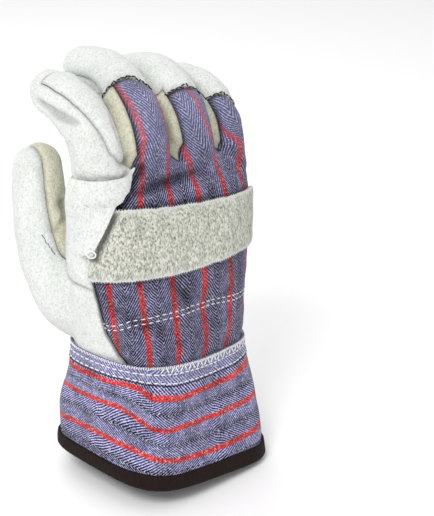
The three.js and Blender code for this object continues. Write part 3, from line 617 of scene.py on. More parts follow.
def parting(points, left, right):
    """Millimetres past the plane where two fingers part, which slants to the palm side."""
    a, b = FINGERS[left], FINGERS[right]
    at = ((a[0] + b[0]) * PALM_WIDTH + (a[4] - b[4]) / 2) / 2
    slant = (a[1] / a[3] + b[1] / b[3]) * PALM_WIDTH / 2
    return points[:, 0] - at - slant * np.maximum(points[:, 1], 0)


def hand_skin():
    """The whole skin with a field for every panel, made once and kept."""
    if "skin" in CACHE:
        return CACHE["skin"]
    limbs = {name: finger_limb(name) for name in FINGERS}
    limbs["thumb"] = thumb_limb()
    rows = hand_rows()
    body = section_rings(rows[rows[:, 5] > 1], BODY_SIDES, HAND_DENTS)
    parts = [tube(body)] + [tube(limb.rings()) for limb in limbs.values()]
    points, faces = largest_part(*remeshed(parts, sizes().mesh_step))
    edges, degree = neighbours(faces, len(points))
    points = smoothed(points, edges, degree, FORM_ROUNDS)
    fields = panel_fields(points, limbs)
    pattern = np.stack([fields["across"], fields["along"]], 1)
    for _ in range(PATTERN_ROUNDS):
        pattern = (pattern + averaged(pattern, edges, degree)) / 2
    fields["across"], fields["along"] = pattern.T
    skin = {"faces": faces, "rest": points.copy(), **fields}
    seam = seam_distance(points, edges, fields)
    normal = normals_of(points, faces)
    skin["plain"] = points + normal * relief(points)[:, None]
    points = points + normal * relief(points, seam)[:, None]
    # Folds count as seams in this distance, so deep folds get painted shade
    skin["seam"] = np.minimum(seam, 0.3 + 2.5 * np.clip(1 + CACHE["folds"] / 2, 0, 2))
    skin["point"] = points
    skin["normal"] = smoothed(normals_of(points, faces), edges, degree, 1)
    skin["plain_normal"] = smoothed(normals_of(skin["plain"], faces), edges, degree, 3)
    CACHE["skin"], CACHE["limbs"] = skin, limbs
    return skin


def panel_fields(points, limbs):
    """A field for every panel, under 0 inside it, and the place across and along the cloth."""
    z = points[:, 2]
    fields = {}
    names = list(FINGERS)
    gaps = [parting(points, *names[i:i + 2]) for i in range(3)]
    past = [np.full(len(points), FAR)] + gaps + [np.full(len(points), -FAR)]
    space = {name: np.maximum(-past[i], past[i + 1]) for i, name in enumerate(names)}
    located = {name: limb.locate(points) for name, limb in limbs.items()}
    length = {name: limb.run[-1] for name, limb in limbs.items()}
    for i in range(3):
        taper = (z - height(SIDE_STRIP_POINT)) / (SIDE_STRIP_TAPER * PALM_LENGTH)
        half = np.where(taper > 1, FAR, np.clip(taper, 0, 1) * SIDE_STRIP_WIDTH / 2)
        facing = []
        for name, sign, edge in zip(names[i:i + 2], (1, -1), SIDE_STRIP_EDGES):
            run, side, back, half_width, _ = located[name]
            end = run - SIDE_STRIP_END * length[name]
            facing.append(np.maximum.reduce([
                half_width * edge - side * sign, side * sign - half_width - SIDE_STRIP_REACH,
                -SIDE_STRIP_DEPTH - back, end,
            ]))
        fields[f"side_{names[i]}_{names[i + 1]}"] = np.maximum.reduce([
            np.minimum(*facing), np.abs(gaps[i]) - half, height(SIDE_STRIP_POINT) - z,
        ])
    lobes = []
    for name, (start, round_start, lobe_end, slant) in LOBES.items():
        run, side, back, half_width, _ = located[name]
        share = run / length[name] - slant * side / limbs[name].half_width[0]
        turned = np.clip((share - round_start) / (lobe_end - round_start), 0, None)
        half = half_width * LOBE_WIDE * np.sqrt(np.maximum(1 - turned**LOBE_BLUNT, 0)) + 0.3
        beyond = np.where(turned < 1, -FAR, (share - lobe_end) * length[name])
        end = np.maximum(np.minimum(np.abs(side) - half, 6), beyond)
        fields[f"lobe_{name}"] = np.maximum.reduce([end, -back, (start - share) * length[name], space[name]])
        lobes.append(fields[f"lobe_{name}"])
        under = (round_start - TIP_UNDER_LOBE) * length[name] - run
        fields[f"tip_{name}"] = np.maximum.reduce([-back, under, space[name]])
    room = np.minimum(z - height(INDEX_CROTCH), -gaps[0])
    cloth = np.maximum(wedge(points, BACK_SEAMS), room)
    fields["back_cloth"] = np.minimum.reduce([cloth] + lobes)
    run, side, back, half_width, half_depth = located["thumb"]
    rho = np.hypot(side / half_width, back / half_depth)
    thumb = np.maximum((rho - 1) * half_width - LEATHER_WALL, run - length["thumb"] - 1.5 * half_width)
    start = limbs["thumb"].run[THUMB_PANEL_START] - run
    fields["thumb_inner"] = np.maximum.reduce([THUMB_SEAM * half_width - side, thumb, start])
    wing_rows = [row for row in BACK_SEAMS if row[0] < MID_PALM_SEAM]
    table = np.array(BACK_SEAMS, float)
    wing_rows.append((MID_PALM_SEAM, np.interp(MID_PALM_SEAM, table[:, 0], table[:, 1]), 0))
    wing = wedge(points, [(row[0], WING_TO_PALM, 2 - row[1]) for row in wing_rows])
    fields["thumb_outer"] = np.minimum(wing, thumb)
    run, side, back, half_width, _ = located["index"]
    share, seam = run / length["index"], np.array(INDEX_SEAM)
    low = np.interp(share, seam[:, 0], seam[:, 1]) * half_width
    fields["index_back"] = np.maximum.reduce([
        low - side, -back, (seam[0, 0] - share) * length["index"], (share - seam[-1, 0]) * length["index"],
        space["index"],
    ])
    base = height(FINGER_BASE_SEAM)
    for name in FINGERS:
        fields[f"{name}_front"] = np.maximum(space[name], base - z)
    fields["palm_upper"] = height(MID_PALM_SEAM) - z
    fields["palm_lower"] = np.full(len(points), -1.0)
    fields["across"], fields["along"] = cloth_pattern(points, limbs, located, space)
    return fields


def cloth_pattern(points, limbs, located, space):
    """Place across and along the cloth: it follows the back, then turns to follow each finger."""
    z = points[:, 2]
    arc, high = back_arc(points), z.copy()
    for name in FINGERS:
        run, side = located[name][:2]
        blend = np.clip((z - FINGER_PATTERN_START) / FINGER_PATTERN_BLEND, 0, 1)
        blend = blend * blend * (3 - 2 * blend) * (space[name] < 0)
        arc = arc * (1 - blend) + (FINGERS[name][0] * PALM_WIDTH + side) * blend
        high = high * (1 - blend) + (limbs[name].centre[0, 2] + run) * blend
    return stripe_place(arc, high), high


def back_arc(points):
    """Length along the back from its middle, by numbers summed round each section."""
    rows = hand_rows()
    rings = section_rings(rows[rows[:, 5] > 8], 180, HAND_DENTS)
    turn = np.degrees(np.arctan2(rings[..., 0], -rings[..., 1]))
    reach, step = 120, 4.0
    grid = np.arange(-reach, reach + 1, step)
    table = []
    for ring, angle in zip(rings, turn):
        order = np.argsort(angle)
        px, py = np.interp(grid, angle[order], ring[order, 0]), np.interp(grid, angle[order], ring[order, 1])
        run = np.r_[0, np.cumsum(np.hypot(np.diff(px), np.diff(py)))]
        table.append(run - np.interp(0, px, run))
    table = np.array(table)
    levels = rings[..., 2].mean(1)
    x, y, z = points.T
    where = np.interp(z, levels, np.arange(len(levels)))
    low = np.clip(where.astype(int), 0, len(levels) - 2)
    part = where - low
    angle = np.clip(np.degrees(np.arctan2(x, -y)), 2 - reach, reach - 2)
    place = (angle + reach) / step
    column = place.astype(int)
    t = place - column
    at = lambda row: table[row, column] * (1 - t) + table[row, column + 1] * t
    return at(low) * (1 - part) + at(low + 1) * part


def stripe_place(arc, high):
    """Stripe number as a running value, whole at the middle of each red stripe."""
    guide = spline(STRIPE_GUIDE, 6)
    columns = [np.interp(high, guide[:, 0], guide[:, i]) for i in range(1, 7)]
    pitch = sizes().stripe_pitch
    columns = [columns[0] - pitch] + columns + [columns[-1] + pitch]
    place = np.where(arc < columns[0], (arc - columns[0]) / pitch, 0.0)
    for i in range(len(columns) - 1):
        gap = np.maximum(columns[i + 1] - columns[i], 0.5)
        share = np.clip((arc - columns[i]) / gap, 0, 1)
        place = place + share
    return place + np.where(arc > columns[-1], (arc - columns[-1]) / pitch, 0.0)


def seam_distance(points, edges, fields):
    """Distance of every point from the nearest seam between two panels."""
    panel = np.full(len(points), len(ORDER) - 1)
    for i in reversed(range(len(ORDER))):
        panel[fields[ORDER[i]] < 0] = i
    a, b = edges[panel[edges[:, 0]] != panel[edges[:, 1]]].T
    first = np.minimum(panel[a], panel[b])
    values = np.stack([fields[name] for name in ORDER])
    va, vb = values[first, a], values[first, b]
    t = np.clip(va / np.where(np.abs(va - vb) < 1e-9, 1e-9, va - vb), 0, 1)[:, None]
    crossings = points[a] * (1 - t) + points[b] * t
    tree = KDTree(len(crossings))
    for i, point in enumerate(crossings):
        tree.insert(point, i)
    tree.balance()
    return np.array([tree.find(point)[2] for point in points])


def wave(points, size, seed):
    """Soft noise, one number a point, with lumps of a given size in millimetres."""
    shift = Vector((seed * 17.3, seed * 5.1, -seed * 9.7))
    return np.array([noise.noise(Vector(p) / size + shift) for p in points])


def fold_depth(points, folds):
    depth = np.zeros(len(points))
    for deep, wide, line in folds:
        line = np.array(line, float)
        nearest = np.full(len(points), 1e9)
        fade = np.zeros(len(points))
        total = len(line) - 1
        for i in range(total):
            step = line[i + 1] - line[i]
            t = np.clip((points - line[i]) @ step / (step @ step), 0, 1)
            away = np.linalg.norm(points - line[i] - t[:, None] * step, axis=1)
            closer = away < nearest
            nearest[closer] = away[closer]
            share = (i + t[closer]) / total
            fade[closer] = 0.35 + 0.65 * np.sin(np.pi * np.clip(share, 0, 1)) ** 0.7
        depth -= deep * fade * np.exp(-(nearest / wide) ** 2)
    return depth


def relief(points, seam=None):
    """How far the worn skin stands off the plain form: folds, lumps and, given them, seams and swelling."""
    props = sizes()
    if "folds" not in CACHE:
        CACHE["lumps"] = 0.9 * wave(points, 16, 1) + 0.45 * wave(points, 7, 2)
        CACHE["grain"] = 0.16 * wave(points, 2.6, 3)
        CACHE["folds"] = fold_depth(points, FOLDS)
    depth = 0.7 * CACHE["lumps"] + CACHE["folds"]
    if seam is None:
        return depth
    pulled = props.seam_depth * np.exp(-(seam / props.seam_width) ** 2)
    swollen = props.puff * (0.4 - np.exp(-(seam / 6) ** 2))
    return depth - pulled + swollen + CACHE["grain"]


# From skins to pieces

def rim_of(faces):
    """Directed edges that only one triangle has."""
    edges = np.vstack([faces[:, [0, 1]], faces[:, [1, 2]], faces[:, [2, 0]]])
    key = edges[:, 0] * (faces.max() + 1) + edges[:, 1]
    back = edges[:, 1] * (faces.max() + 1) + edges[:, 0]
    return edges[~np.isin(key, back)]


def without_crumbs(skin, least=60):
    """A cut panel without the small loose scraps beside it."""
    part = part_of(skin["faces"], len(skin["point"]))
    faces = skin["faces"][np.bincount(part)[part] >= least]
    used, inverse = np.unique(faces, return_inverse=True)
    out = {key: values[used] for key, values in skin.items() if key != "faces"}
    out["faces"] = inverse.reshape(faces.shape)
    return out


def shell_object(name, skin, wall, look, slot):
    """Piece with a wall: outer skin, inner skin and the raw edge between them."""
    outer, normal, faces = skin["point"], skin["normal"], skin["faces"]
    inner = outer - normal * wall
    rim = rim_of(faces)
    count = len(outer)
    side = np.vstack([
        np.stack([rim[:, 1], rim[:, 0], rim[:, 0] + count], 1),
        np.stack([rim[:, 1], rim[:, 0] + count, rim[:, 1] + count], 1),
    ])
    triangles = np.vstack([faces, faces[:, ::-1] + count, side])
    mesh = bpy.data.meshes.new(name)
    fill_mesh(mesh, np.vstack([outer, inner]) * MM, triangles)
    mark_sharp(mesh, np.vstack([rim, rim + count]))
    if "weave" in skin:
        weave = np.vstack([skin["weave"], skin["weave"]])[triangles]
        round_length = np.ptp(weave[..., 1])
        meets = np.ptp(weave[..., 1], axis=1) > 0.5 * round_length
        weave[meets, :, 1] += round_length * (weave[meets, :, 1] < weave[..., 1].mean())
        layer = mesh.uv_layers.new(name="weave")
        layer.uv.foreach_set("vector", weave.astype(np.float32).ravel())
    # seam: millimetres to the nearest seam, fold or strap or flap edge, which the finishes turn into painted
    # shade
    for key in ("seam", "pale"):
        if key in skin:
            shade = mesh.attributes.new(key, "FLOAT", "POINT")
            shade.data.foreach_set("value", np.r_[skin[key], skin[key]].astype(np.float32))
    return placed(name, mesh, look, slot)


def fill_mesh(mesh, points, triangles):
    mesh.vertices.add(len(points))
    mesh.vertices.foreach_set("co", points.astype(np.float32).ravel())
    mesh.loops.add(len(triangles) * 3)
    mesh.loops.foreach_set("vertex_index", triangles.astype(np.int32).ravel())
    mesh.polygons.add(len(triangles))
    mesh.polygons.foreach_set("loop_start", np.arange(0, len(triangles) * 3, 3, dtype=np.int32))
    mesh.update(calc_edges=True)
    mesh.validate()
    mesh.shade_smooth()


def mark_sharp(mesh, pairs):
    edges = np.zeros(len(mesh.edges) * 2, int)
    mesh.edges.foreach_get("vertices", edges)
    edges = np.sort(edges.reshape(-1, 2), 1)
    size = len(mesh.vertices)
    pairs = np.sort(pairs, 1)
    sharp = np.isin(edges[:, 0] * size + edges[:, 1], pairs[:, 0] * size + pairs[:, 1])
    layer = mesh.attributes.new("sharp_edge", "BOOLEAN", "EDGE")
    layer.data.foreach_set("value", sharp)


def placed(name, mesh, look, slot=None):
    """Object of a piece with its finish: on its body and, with a slot, in place of its solid."""
    piece = bpy.data.objects.new(f"{name}_sewn", mesh)
    bpy.context.scene.collection.objects.link(piece)
    mesh.materials.clear()
    mesh.materials.append(finish(look))
    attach(piece, "root")
    if slot:
        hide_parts(name)
    return piece


def grid_skin(rings, weave=None):
    """Skin of a grid of points, rows by columns, closed round."""
    index = np.arange(rings.shape[0] * rings.shape[1]).reshape(rings.shape[:2])
    right = np.roll(index, -1, 1)
    a, b, c, d = index[:-1], right[:-1], right[1:], index[1:]
    faces = np.vstack([np.stack([a, b, c], 2).reshape(-1, 3), np.stack([a, c, d], 2).reshape(-1, 3)])
    skin = {"point": rings.reshape(-1, 3), "faces": faces}
    skin["normal"] = normals_of(skin["point"], faces)
    if weave is not None:
        skin["weave"] = weave.reshape(-1, 2)
    return skin


# Finish and slot of the panels that aren't white leather
PANELS = {
    "side_index_middle": ("cream", "cream_split"), "side_middle_ring": ("cream", "cream_split"),
    "side_ring_little": ("cream", "cream_split"), "back_cloth": ("cloth", "striped_cloth"),
    "thumb_inner": ("cream", "cream_split"),
}


class GLOVE_OT_panels(bpy.types.Operator):
    """Cut the skin along its seams into the leather panels and the cloth back"""
    bl_idname = "glove.panels"
    bl_label = "Panels of the hand"

    def execute(self, context):
        skin = hand_skin()
        keep = ("faces", "point", "normal", "seam", "rest") + tuple(f"lobe_{name}" for name in LOBES)
        rest = {key: skin[key] for key in keep + tuple(ORDER)}
        rest["weave"] = np.stack([skin["across"] * sizes().stripe_pitch, skin["along"]], 1) * MM
        x, _, z = skin["rest"].T
        rest = cut(rest, CUFF_LENGTH - CUFF_OVERLAP - z - WRIST_SLANT * x)
        for name in ORDER:
            look, slot = PANELS.get(name, ("white", "white_split"))
            piece = without_crumbs(cut(rest, rest[name] + SEAM_GAP * 0.4))
            if name != ORDER[-1]:
                rest = cut(rest, SEAM_GAP * 0.4 - rest[name])
            # Painted shadow along the edges of the knuckle strap, on the panels under it
            strap = wedge(piece["rest"], STRAP_EDGES)
            piece["seam"] = np.minimum(piece["seam"], 0.3 + 0.9 * np.abs(strap))
            if name == "back_cloth":
                wall, lift, reach = 1.0, -0.5, 2.5
                # Painted shadow on the cloth along the edge of the flap
                flap = wedge(piece["rest"], FLAP_EDGES)
                piece["seam"] = np.minimum(piece["seam"], 0.9 * np.abs(flap - 1.5))
                paler = (piece["rest"][:, 2] - PALE_START) / PALE_BLEND
                piece["pale"] = np.clip(paler, 0, 1) * PALE_SHARE
            else:
                wall, lift, reach = LEATHER_WALL - 0.1, 0.9, 2.4
                del piece["weave"]
            lift = lift * np.exp(-(piece["back_cloth"] / reach) ** 2)
            piece["point"] = piece["point"] + piece["normal"] * lift[:, None]
            shell_object(name, piece, wall, look, slot)
            CACHE[name] = piece
        return {"FINISHED"}


def band(skin, value, over_edge, base, wall, name, look, slot):
    """Piece laid over the skin where value is under 0, with painted shadow where over_edge is near 0."""
    over = {
        "faces": skin["faces"],
        "point": skin["plain"] + skin["plain_normal"] * (base + wall),
        "normal": skin["plain_normal"],
        "edge": value, "seam": 0.95 * np.abs(over_edge - 1.2) - 0.4,
    }
    over = without_crumbs(cut(over, value))
    thin = np.exp(over["edge"] / 1.2)
    over["point"] = over["point"] - over["normal"] * 0.5 * thin[:, None]
    over["pale"] = thin * (look == "grey")
    CACHE[name] = over
    shell_object(name, over, wall, look, slot)


class GLOVE_OT_strap(bpy.types.Operator):
    """Lay the knuckle strap and the three-cornered flap over the back"""
    bl_idname = "glove.strap"
    bl_label = "Knuckle strap and flap"

    def execute(self, context):
        skin = hand_skin()
        rest = skin["rest"]
        ragged = 0.5 * wave(rest, 5, 8) + 0.35 * wave(rest, 1.8, 9)
        strap, flap = wedge(rest, STRAP_EDGES), wedge(rest, FLAP_EDGES)
        # The strap gets painted shadow beside the edge of the flap
        band(skin, strap + ragged, flap, 0.5, STRAP_WALL, "knuckle_strap", "grey", "grey_split")
        far = np.full(len(rest), FAR)
        band(skin, flap + 0.2 * ragged, far, 2.6, LEATHER_WALL, "index_flap", "white", "white_split")
        return {"FINISHED"}


def cuff_rings(heights):
    """Rings of the cuff at heights over its mouth, pushed in and out by the soft folds of the stiff cloth."""
    rings = section_rings(cuff_rows(heights), CUFF_SIDES, CUFF_DENTS)
    flat = rings.reshape(-1, 3)
    lumps = 0.9 * wave(flat, 22, 21) + 0.4 * wave(flat, 9, 22) + fold_depth(flat, CUFF_FOLDS)
    lumps = lumps.reshape(rings.shape[:2]) * np.clip(heights / 6, 0.3, 1)[:, None]
    outward = rings - rings.mean(1, keepdims=True)
    outward[..., 2] = 0
    outward /= np.maximum(np.linalg.norm(outward, axis=2), 1e-6)[..., None]
    return rings + outward * lumps[..., None]


# Red stripes and rows of stitches round the cuff: pairs of a turn and a height
CUFF_STRIPES = [
    [(-111, 18), (-87, 19.3), (-68, 17.7), (-50, 15.7), (-37, 14.6), (0, 13.1), (49, 16.8), (110, 18),
     (180, 17)],
    [(-107, 37), (-84, 37.2), (-65, 34), (-49, 30.5), (-32, 29), (-4, 28.5), (59, 32.3), (110, 34),
     (180, 33)],
    [(-112, 48), (-92, 48), (-60, 48.5), (-47, 44.5), (-19, 42.7), (12, 44.3), (52, 47.5), (110, 48),
     (180, 48)],
]
CUFF_ROWS = [
    [(-110, 52), (-60, 52.5), (-25, 50.5), (13, 50.5), (50, 52), (120, 52.5), (180, 52.5)],
    [(-110, 55.5), (-60, 56), (-25, 55), (13, 55), (50, 56), (120, 56), (180, 56)],
]
# Distance between stripes under the first and over the last
CUFF_BAND, CUFF_TOP_BAND = 17.0, 22.0
# Folds of the cuff: depth, width, then the points that each runs through
CUFF_FOLDS = [
    (-1.8, 4.0, [(-33, -30, 57), (-31, -34, 44), (-32, -38, 28)]),
    (1.6, 4.0, [(-38, -24, 56), (-40, -22, 44), (-42, -22, 30)]),
    (1.2, 4.0, [(-24, -38, 50), (-18, -40, 36), (-10, -42, 24)]),
    (-1.0, 5.0, [(6, -36, 46), (10, -38, 30), (14, -40, 14)]),
]


def cuff_level(turn, line):
    """Height of a line round the cuff at turns from the middle of the back."""
    at, level = np.array(line, float).T
    return np.interp(turn, at, level, period=360)


class GLOVE_OT_cuff(bpy.types.Operator):
    """Make the flared cuff, its bound hem and the patch on the palm side"""
    bl_idname = "glove.cuff"
    bl_label = "Cuff, binding and patch"

    def execute(self, context):
        heights = np.linspace(0, CUFF_LENGTH, 56)
        rings = cuff_rings(heights)
        step = np.linalg.norm(np.roll(rings, -1, 1) - rings, axis=2)
        turn = np.arange(rings.shape[1]) * 360 / rings.shape[1]
        around = np.cumsum(step, 1).mean(0)
        around = (around - around[-1] * (turn > 180))[None] + 0 * rings[..., 0]
        stripes = [cuff_level(turn, line) for line in CUFF_STRIPES]
        place = 1 + (heights[:, None] - stripes[0]) / CUFF_BAND
        for number in (1, 2):
            low, high = stripes[number - 1], stripes[number]
            share = (heights[:, None] - low) / (high - low)
            place = np.where(share > 0, number + share, place)
        above = heights[:, None] - stripes[2]
        place = np.where(above > 0, 3 + above / CUFF_TOP_BAND, place)
        weave = np.stack([place * sizes().stripe_pitch, around], 2) * MM
        skin = grid_skin(rings, weave)
        skin["seam"] = np.full(len(skin["point"]), FAR)
        over = heights[:, None] - cuff_level(turn, CUFF_ROWS[0])
        skin["pale"] = np.clip(over / 1.5, 0, 0.7).ravel()
        shell_object("cuff", skin, CUFF_WALL, "faded", "faded_cloth")
        CACHE["cuff"] = (rings, heights)
        self.binding(rings, heights)
        self.patch()
        return {"FINISHED"}

    def binding(self, rings, heights):
        """Tape folded round the hem: up outside, round the edge and up inside."""
        outer, top = SEAM_GAP + BINDING_WALL, BINDING_HEIGHT
        inner = -CUFF_WALL - outer
        profile = [
            (top, 0.35), (top, 0.9), (top - 0.4, outer), (4.5, outer + 0.15), (2.0, outer + 0.1),
            (0.3, outer), (-0.7, 0.8), (-1.2, 0.0), (-1.3, -0.6), (-1.1, -1.4), (-0.5, -2.2), (0.5, inner),
            (3.0, inner), (top - 0.4, inner), (top, -2.1), (top, -1.6), (3.0, -1.55), (0.0, -1.5),
            (-0.25, -0.6), (0.0, 0.3), (3.0, 0.35),
        ]
        out = []
        for high, off in profile:
            level = np.interp(max(high, 0), heights, np.arange(len(heights)))
            low = min(int(level), len(heights) - 2)
            ring = rings[low] + (rings[low + 1] - rings[low]) * (level - low)
            tangent = np.roll(ring, -1, 0) - np.roll(ring, 1, 0)
            across = np.stack([tangent[:, 1], -tangent[:, 0], 0 * tangent[:, 0]], 1)
            across /= np.linalg.norm(across, axis=1)[:, None]
            point = ring + across * off
            point[:, 2] += min(high, 0)
            out.append(point)
        grid = np.array(out + [out[0]])[::-1]
        run = np.cumsum(np.linalg.norm(np.diff(grid[0], axis=0, append=grid[0][:1]), axis=1))
        length = np.r_[0, np.cumsum(np.linalg.norm(np.diff(grid[:, 0], axis=0), axis=1))]
        weave = np.stack([run[None] + 0 * grid[..., 0], length[:, None] + 0 * grid[..., 0]], 2) * MM
        skin = grid_skin(grid, weave)
        mesh = bpy.data.meshes.new("cuff_binding")
        count = len(skin["point"]) - grid.shape[1]
        fill_mesh(mesh, skin["point"][:count] * MM, skin["faces"] % count)
        layer = mesh.uv_layers.new(name="weave")
        layer.uv.foreach_set("vector", skin["weave"][skin["faces"].ravel()].astype(np.float32).ravel())
        placed("cuff_binding", mesh, "tape", "brown_tape")

    def patch(self):
        """Leather patch over the cuff on the palm side."""
        heights = np.linspace(30, CUFF_LENGTH + 1, 40)
        rings = cuff_rings(heights)
        outward = normals_of(rings.reshape(-1, 3), grid_skin(rings)["faces"]).reshape(rings.shape)
        skin = grid_skin(rings + outward * (0.4 + LEATHER_WALL))
        value = wedge(skin["point"], PATCH_EDGES) + 0.3 * wave(skin["point"], 4, 31)
        skin["edge"] = value
        skin = without_crumbs(cut(skin, value))
        skin["seam"] = np.full(len(skin["point"]), FAR)
        CACHE["patch"] = skin
        shell_object("wrist_patch", skin, LEATHER_WALL, "white", "white_split")


# Nodes, for finishes and for sewing alike

def node(tree, kind, *values, out=0, stops=(), **settings):
    """Add a node and give one of its outputs.

    A setting goes to the input or the property of its name, values go to the open inputs in order,
    and stops to a colour ramp. A value that is an output of another node is linked."""
    made = tree.nodes.new(kind)
    names = {key.replace("_", " "): key for key in settings}
    for name, key in names.items():
        if name not in made.inputs:
            setattr(made, key, settings[key])
    given = list(zip([socket for socket in made.inputs if socket.enabled], values))
    given += [(made.inputs[name], settings[key]) for name, key in names.items() if name in made.inputs]
    for socket, value in given:
        if isinstance(value, bpy.types.NodeSocket):
            tree.links.new(value, socket)
        else:
            socket.default_value = value
    if stops:
        elements = made.color_ramp.elements
        while len(elements) < len(stops):
            elements.new(0.5)
        for element, (place, colour) in zip(elements, stops):
            element.position, element.color = place, colour
    shown = [socket for socket in made.outputs if socket.enabled]
    return made.outputs[out] if isinstance(out, str) else (shown + [None])[out]


# Sewing

def stitch_tree():
    """Node tree that lays stitches along lines: a rounded length of thread at each step."""
    if "stitches" in CACHE:
        return CACHE["stitches"]
    tree = bpy.data.node_groups.new("stitches", "GeometryNodeTree")
    kinds = {"Lines": "Geometry", "Finish": "Material"}
    for name in ("Lines", "Pitch", "Length", "Thread", "Turn", "Swing", "Finish"):
        kind = f"NodeSocket{kinds.get(name, 'Float')}"
        tree.interface.new_socket(name, in_out="INPUT", socket_type=kind)
    tree.interface.new_socket("Stitches", in_out="OUTPUT", socket_type="NodeSocketGeometry")
    given = node(tree, "NodeGroupInput").node.outputs
    curve = node(tree, "GeometryNodeMeshToCurve", Mesh=given["Lines"])
    steps = node(tree, "GeometryNodeCurveToPoints", curve, mode="LENGTH", Length=given["Pitch"]).node.outputs
    up = node(tree, "GeometryNodeInputNamedAttribute", "up", data_type="FLOAT_VECTOR")
    along = node(tree, "FunctionNodeAlignRotationToVector", axis="X", Vector=steps["Tangent"])
    stand = node(tree, "FunctionNodeAlignRotationToVector", axis="Z", pivot_axis="X",
                 Rotation=along, Vector=up)
    parity = node(tree, "ShaderNodeMath", node(tree, "GeometryNodeInputIndex"), 2.0, operation="MODULO")
    side = node(tree, "ShaderNodeMath", parity, 2.0, -1.0, operation="MULTIPLY_ADD")
    angle = node(tree, "ShaderNodeMath", side, given["Swing"], given["Turn"], operation="MULTIPLY_ADD")
    twist = node(tree, "FunctionNodeAxisAngleToRotation", Axis=(0, 0, 1), Angle=angle)
    turned = node(tree, "FunctionNodeRotateRotation", rotation_space="LOCAL", Rotation=stand, Rotate_By=twist)
    size = node(tree, "ShaderNodeCombineXYZ", given["Length"], given["Thread"], given["Thread"])
    ball = node(tree, "GeometryNodeMeshUVSphere", Segments=6, Rings=5, Radius=0.5)
    thread = node(tree, "GeometryNodeTransform", Geometry=ball, Scale=size)
    laid = node(tree, "GeometryNodeInstanceOnPoints",
                Points=steps["Points"], Instance=thread, Rotation=turned)
    real = node(tree, "GeometryNodeRealizeInstances", Geometry=laid)
    soft = node(tree, "GeometryNodeSetShadeSmooth", Geometry=real)
    dyed = node(tree, "GeometryNodeSetMaterial", Geometry=soft, Material=given["Finish"])
    node(tree, "NodeGroupOutput", dyed)
    CACHE["stitches"] = tree
    return tree


def stitched(name, lines, look, pitch, length, thread, turn=0.0, swing=0.0):
    """Rows of stitches along lines, each an array of points beside their normals."""
    points = np.vstack([line[:, :3] for line in lines])
    normals = np.vstack([line[:, 3:] for line in lines])
    edges, base = [], 0
    for line in lines:
        edges += [(base + i, base + i + 1) for i in range(len(line) - 1)]
        base += len(line)
    mesh = bpy.data.meshes.new(f"{name}_lines")
    mesh.from_pydata(((points + 0.15 * thread * normals) * MM).tolist(), edges, [])
    up = mesh.attributes.new("up", "FLOAT_VECTOR", "POINT")
    up.data.foreach_set("vector", normals.astype(np.float32).ravel())
    rows = bpy.data.objects.new(f"{name}_lines", mesh)
    bpy.context.scene.collection.objects.link(rows)
    modifier = rows.modifiers.new("stitches", "NODES")
    modifier.node_group = stitch_tree()
    values = {
        "Pitch": pitch * MM, "Length": length * MM, "Thread": thread * MM,
        "Turn": math.radians(turn), "Swing": math.radians(swing), "Finish": finish(look),
    }
    for item in modifier.node_group.interface.items_tree:
        if item.in_out == "INPUT" and item.name in values:
            modifier[item.identifier] = values[item.name]
    result = bpy.data.meshes.new_from_object(rows.evaluated_get(bpy.context.evaluated_depsgraph_get()))
    bpy.data.objects.remove(rows)
    bpy.data.meshes.remove(mesh)
    return placed(name, result, look)


def cuff_line(line, lift=0.0, low=-180, high=180):
    """Line round the cuff at the heights of a table, with its normals."""
    rings, heights = CACHE["cuff"]
    normals = grid_skin(rings)["normal"].reshape(rings.shape)
    turn = wrapped(np.arange(rings.shape[1]) * 360.0 / rings.shape[1], 0)
    level = np.interp(cuff_level(turn, line) + lift, heights, np.arange(len(heights)))
    below = np.minimum(level.astype(int), len(heights) - 2)
    column = np.arange(rings.shape[1])
    share = (level - below)[:, None]
    mixed_at = lambda grid: grid[below, column] * (1 - share) + grid[below + 1, column] * share
    rows = np.hstack([mixed_at(rings), mixed_at(normals)])[np.argsort(turn)]
    turn = np.sort(turn)
    rows = rows[(turn >= low) & (turn <= high)]
    return np.vstack([rows, rows[:1]]) if high - low >= 360 else rows


# Double row of stitches across the back: place across, height
BACK_ROW = [(-50, 80), (-44, 83), (-35, 86.6), (-22, 87.6), (-5, 87), (12, 85.8), (33, 82.6), (46, 80)]
ROW_GAP = 2.5
LADDER_SPAN = (-38, 70)
# Dart sewn into the thumb leather beside its seam
DART = [(-53.4, 18.2, 118.7), (-50, 14.6, 110.6)]
# Loop of thread left at the lower end of the flap
KNOT_PLACE, KNOT_SIZE, KNOT_LIFT = (-39, -9.5, 116.5), 2.2, 5.2


def flap_loop():
    """Loop of thread that stands off the skin, with its normals."""
    skin = CACHE["skin"]
    near = np.linalg.norm(skin["plain"] - np.array(KNOT_PLACE), axis=1).argmin()
    place, out = skin["plain"][near], skin["plain_normal"][near]
    side = np.cross(out, (0, 0, 1.0))
    turn = np.radians(np.arange(0, 361, 12))[:, None]
    loop = np.cos(turn) * side * KNOT_SIZE + np.sin(turn) * np.cross(side, out) * KNOT_SIZE * 0.7
    return np.hstack([place + KNOT_LIFT * out + loop, out + 0 * loop])


def dart_line():
    """Line of the dart on the skin, with its normals."""
    skin = CACHE["skin"]
    near = [np.linalg.norm(skin["point"] - place, axis=1).argmin() for place in np.linspace(*DART, 12)]
    return np.hstack([skin["point"][near], skin["normal"][near]])


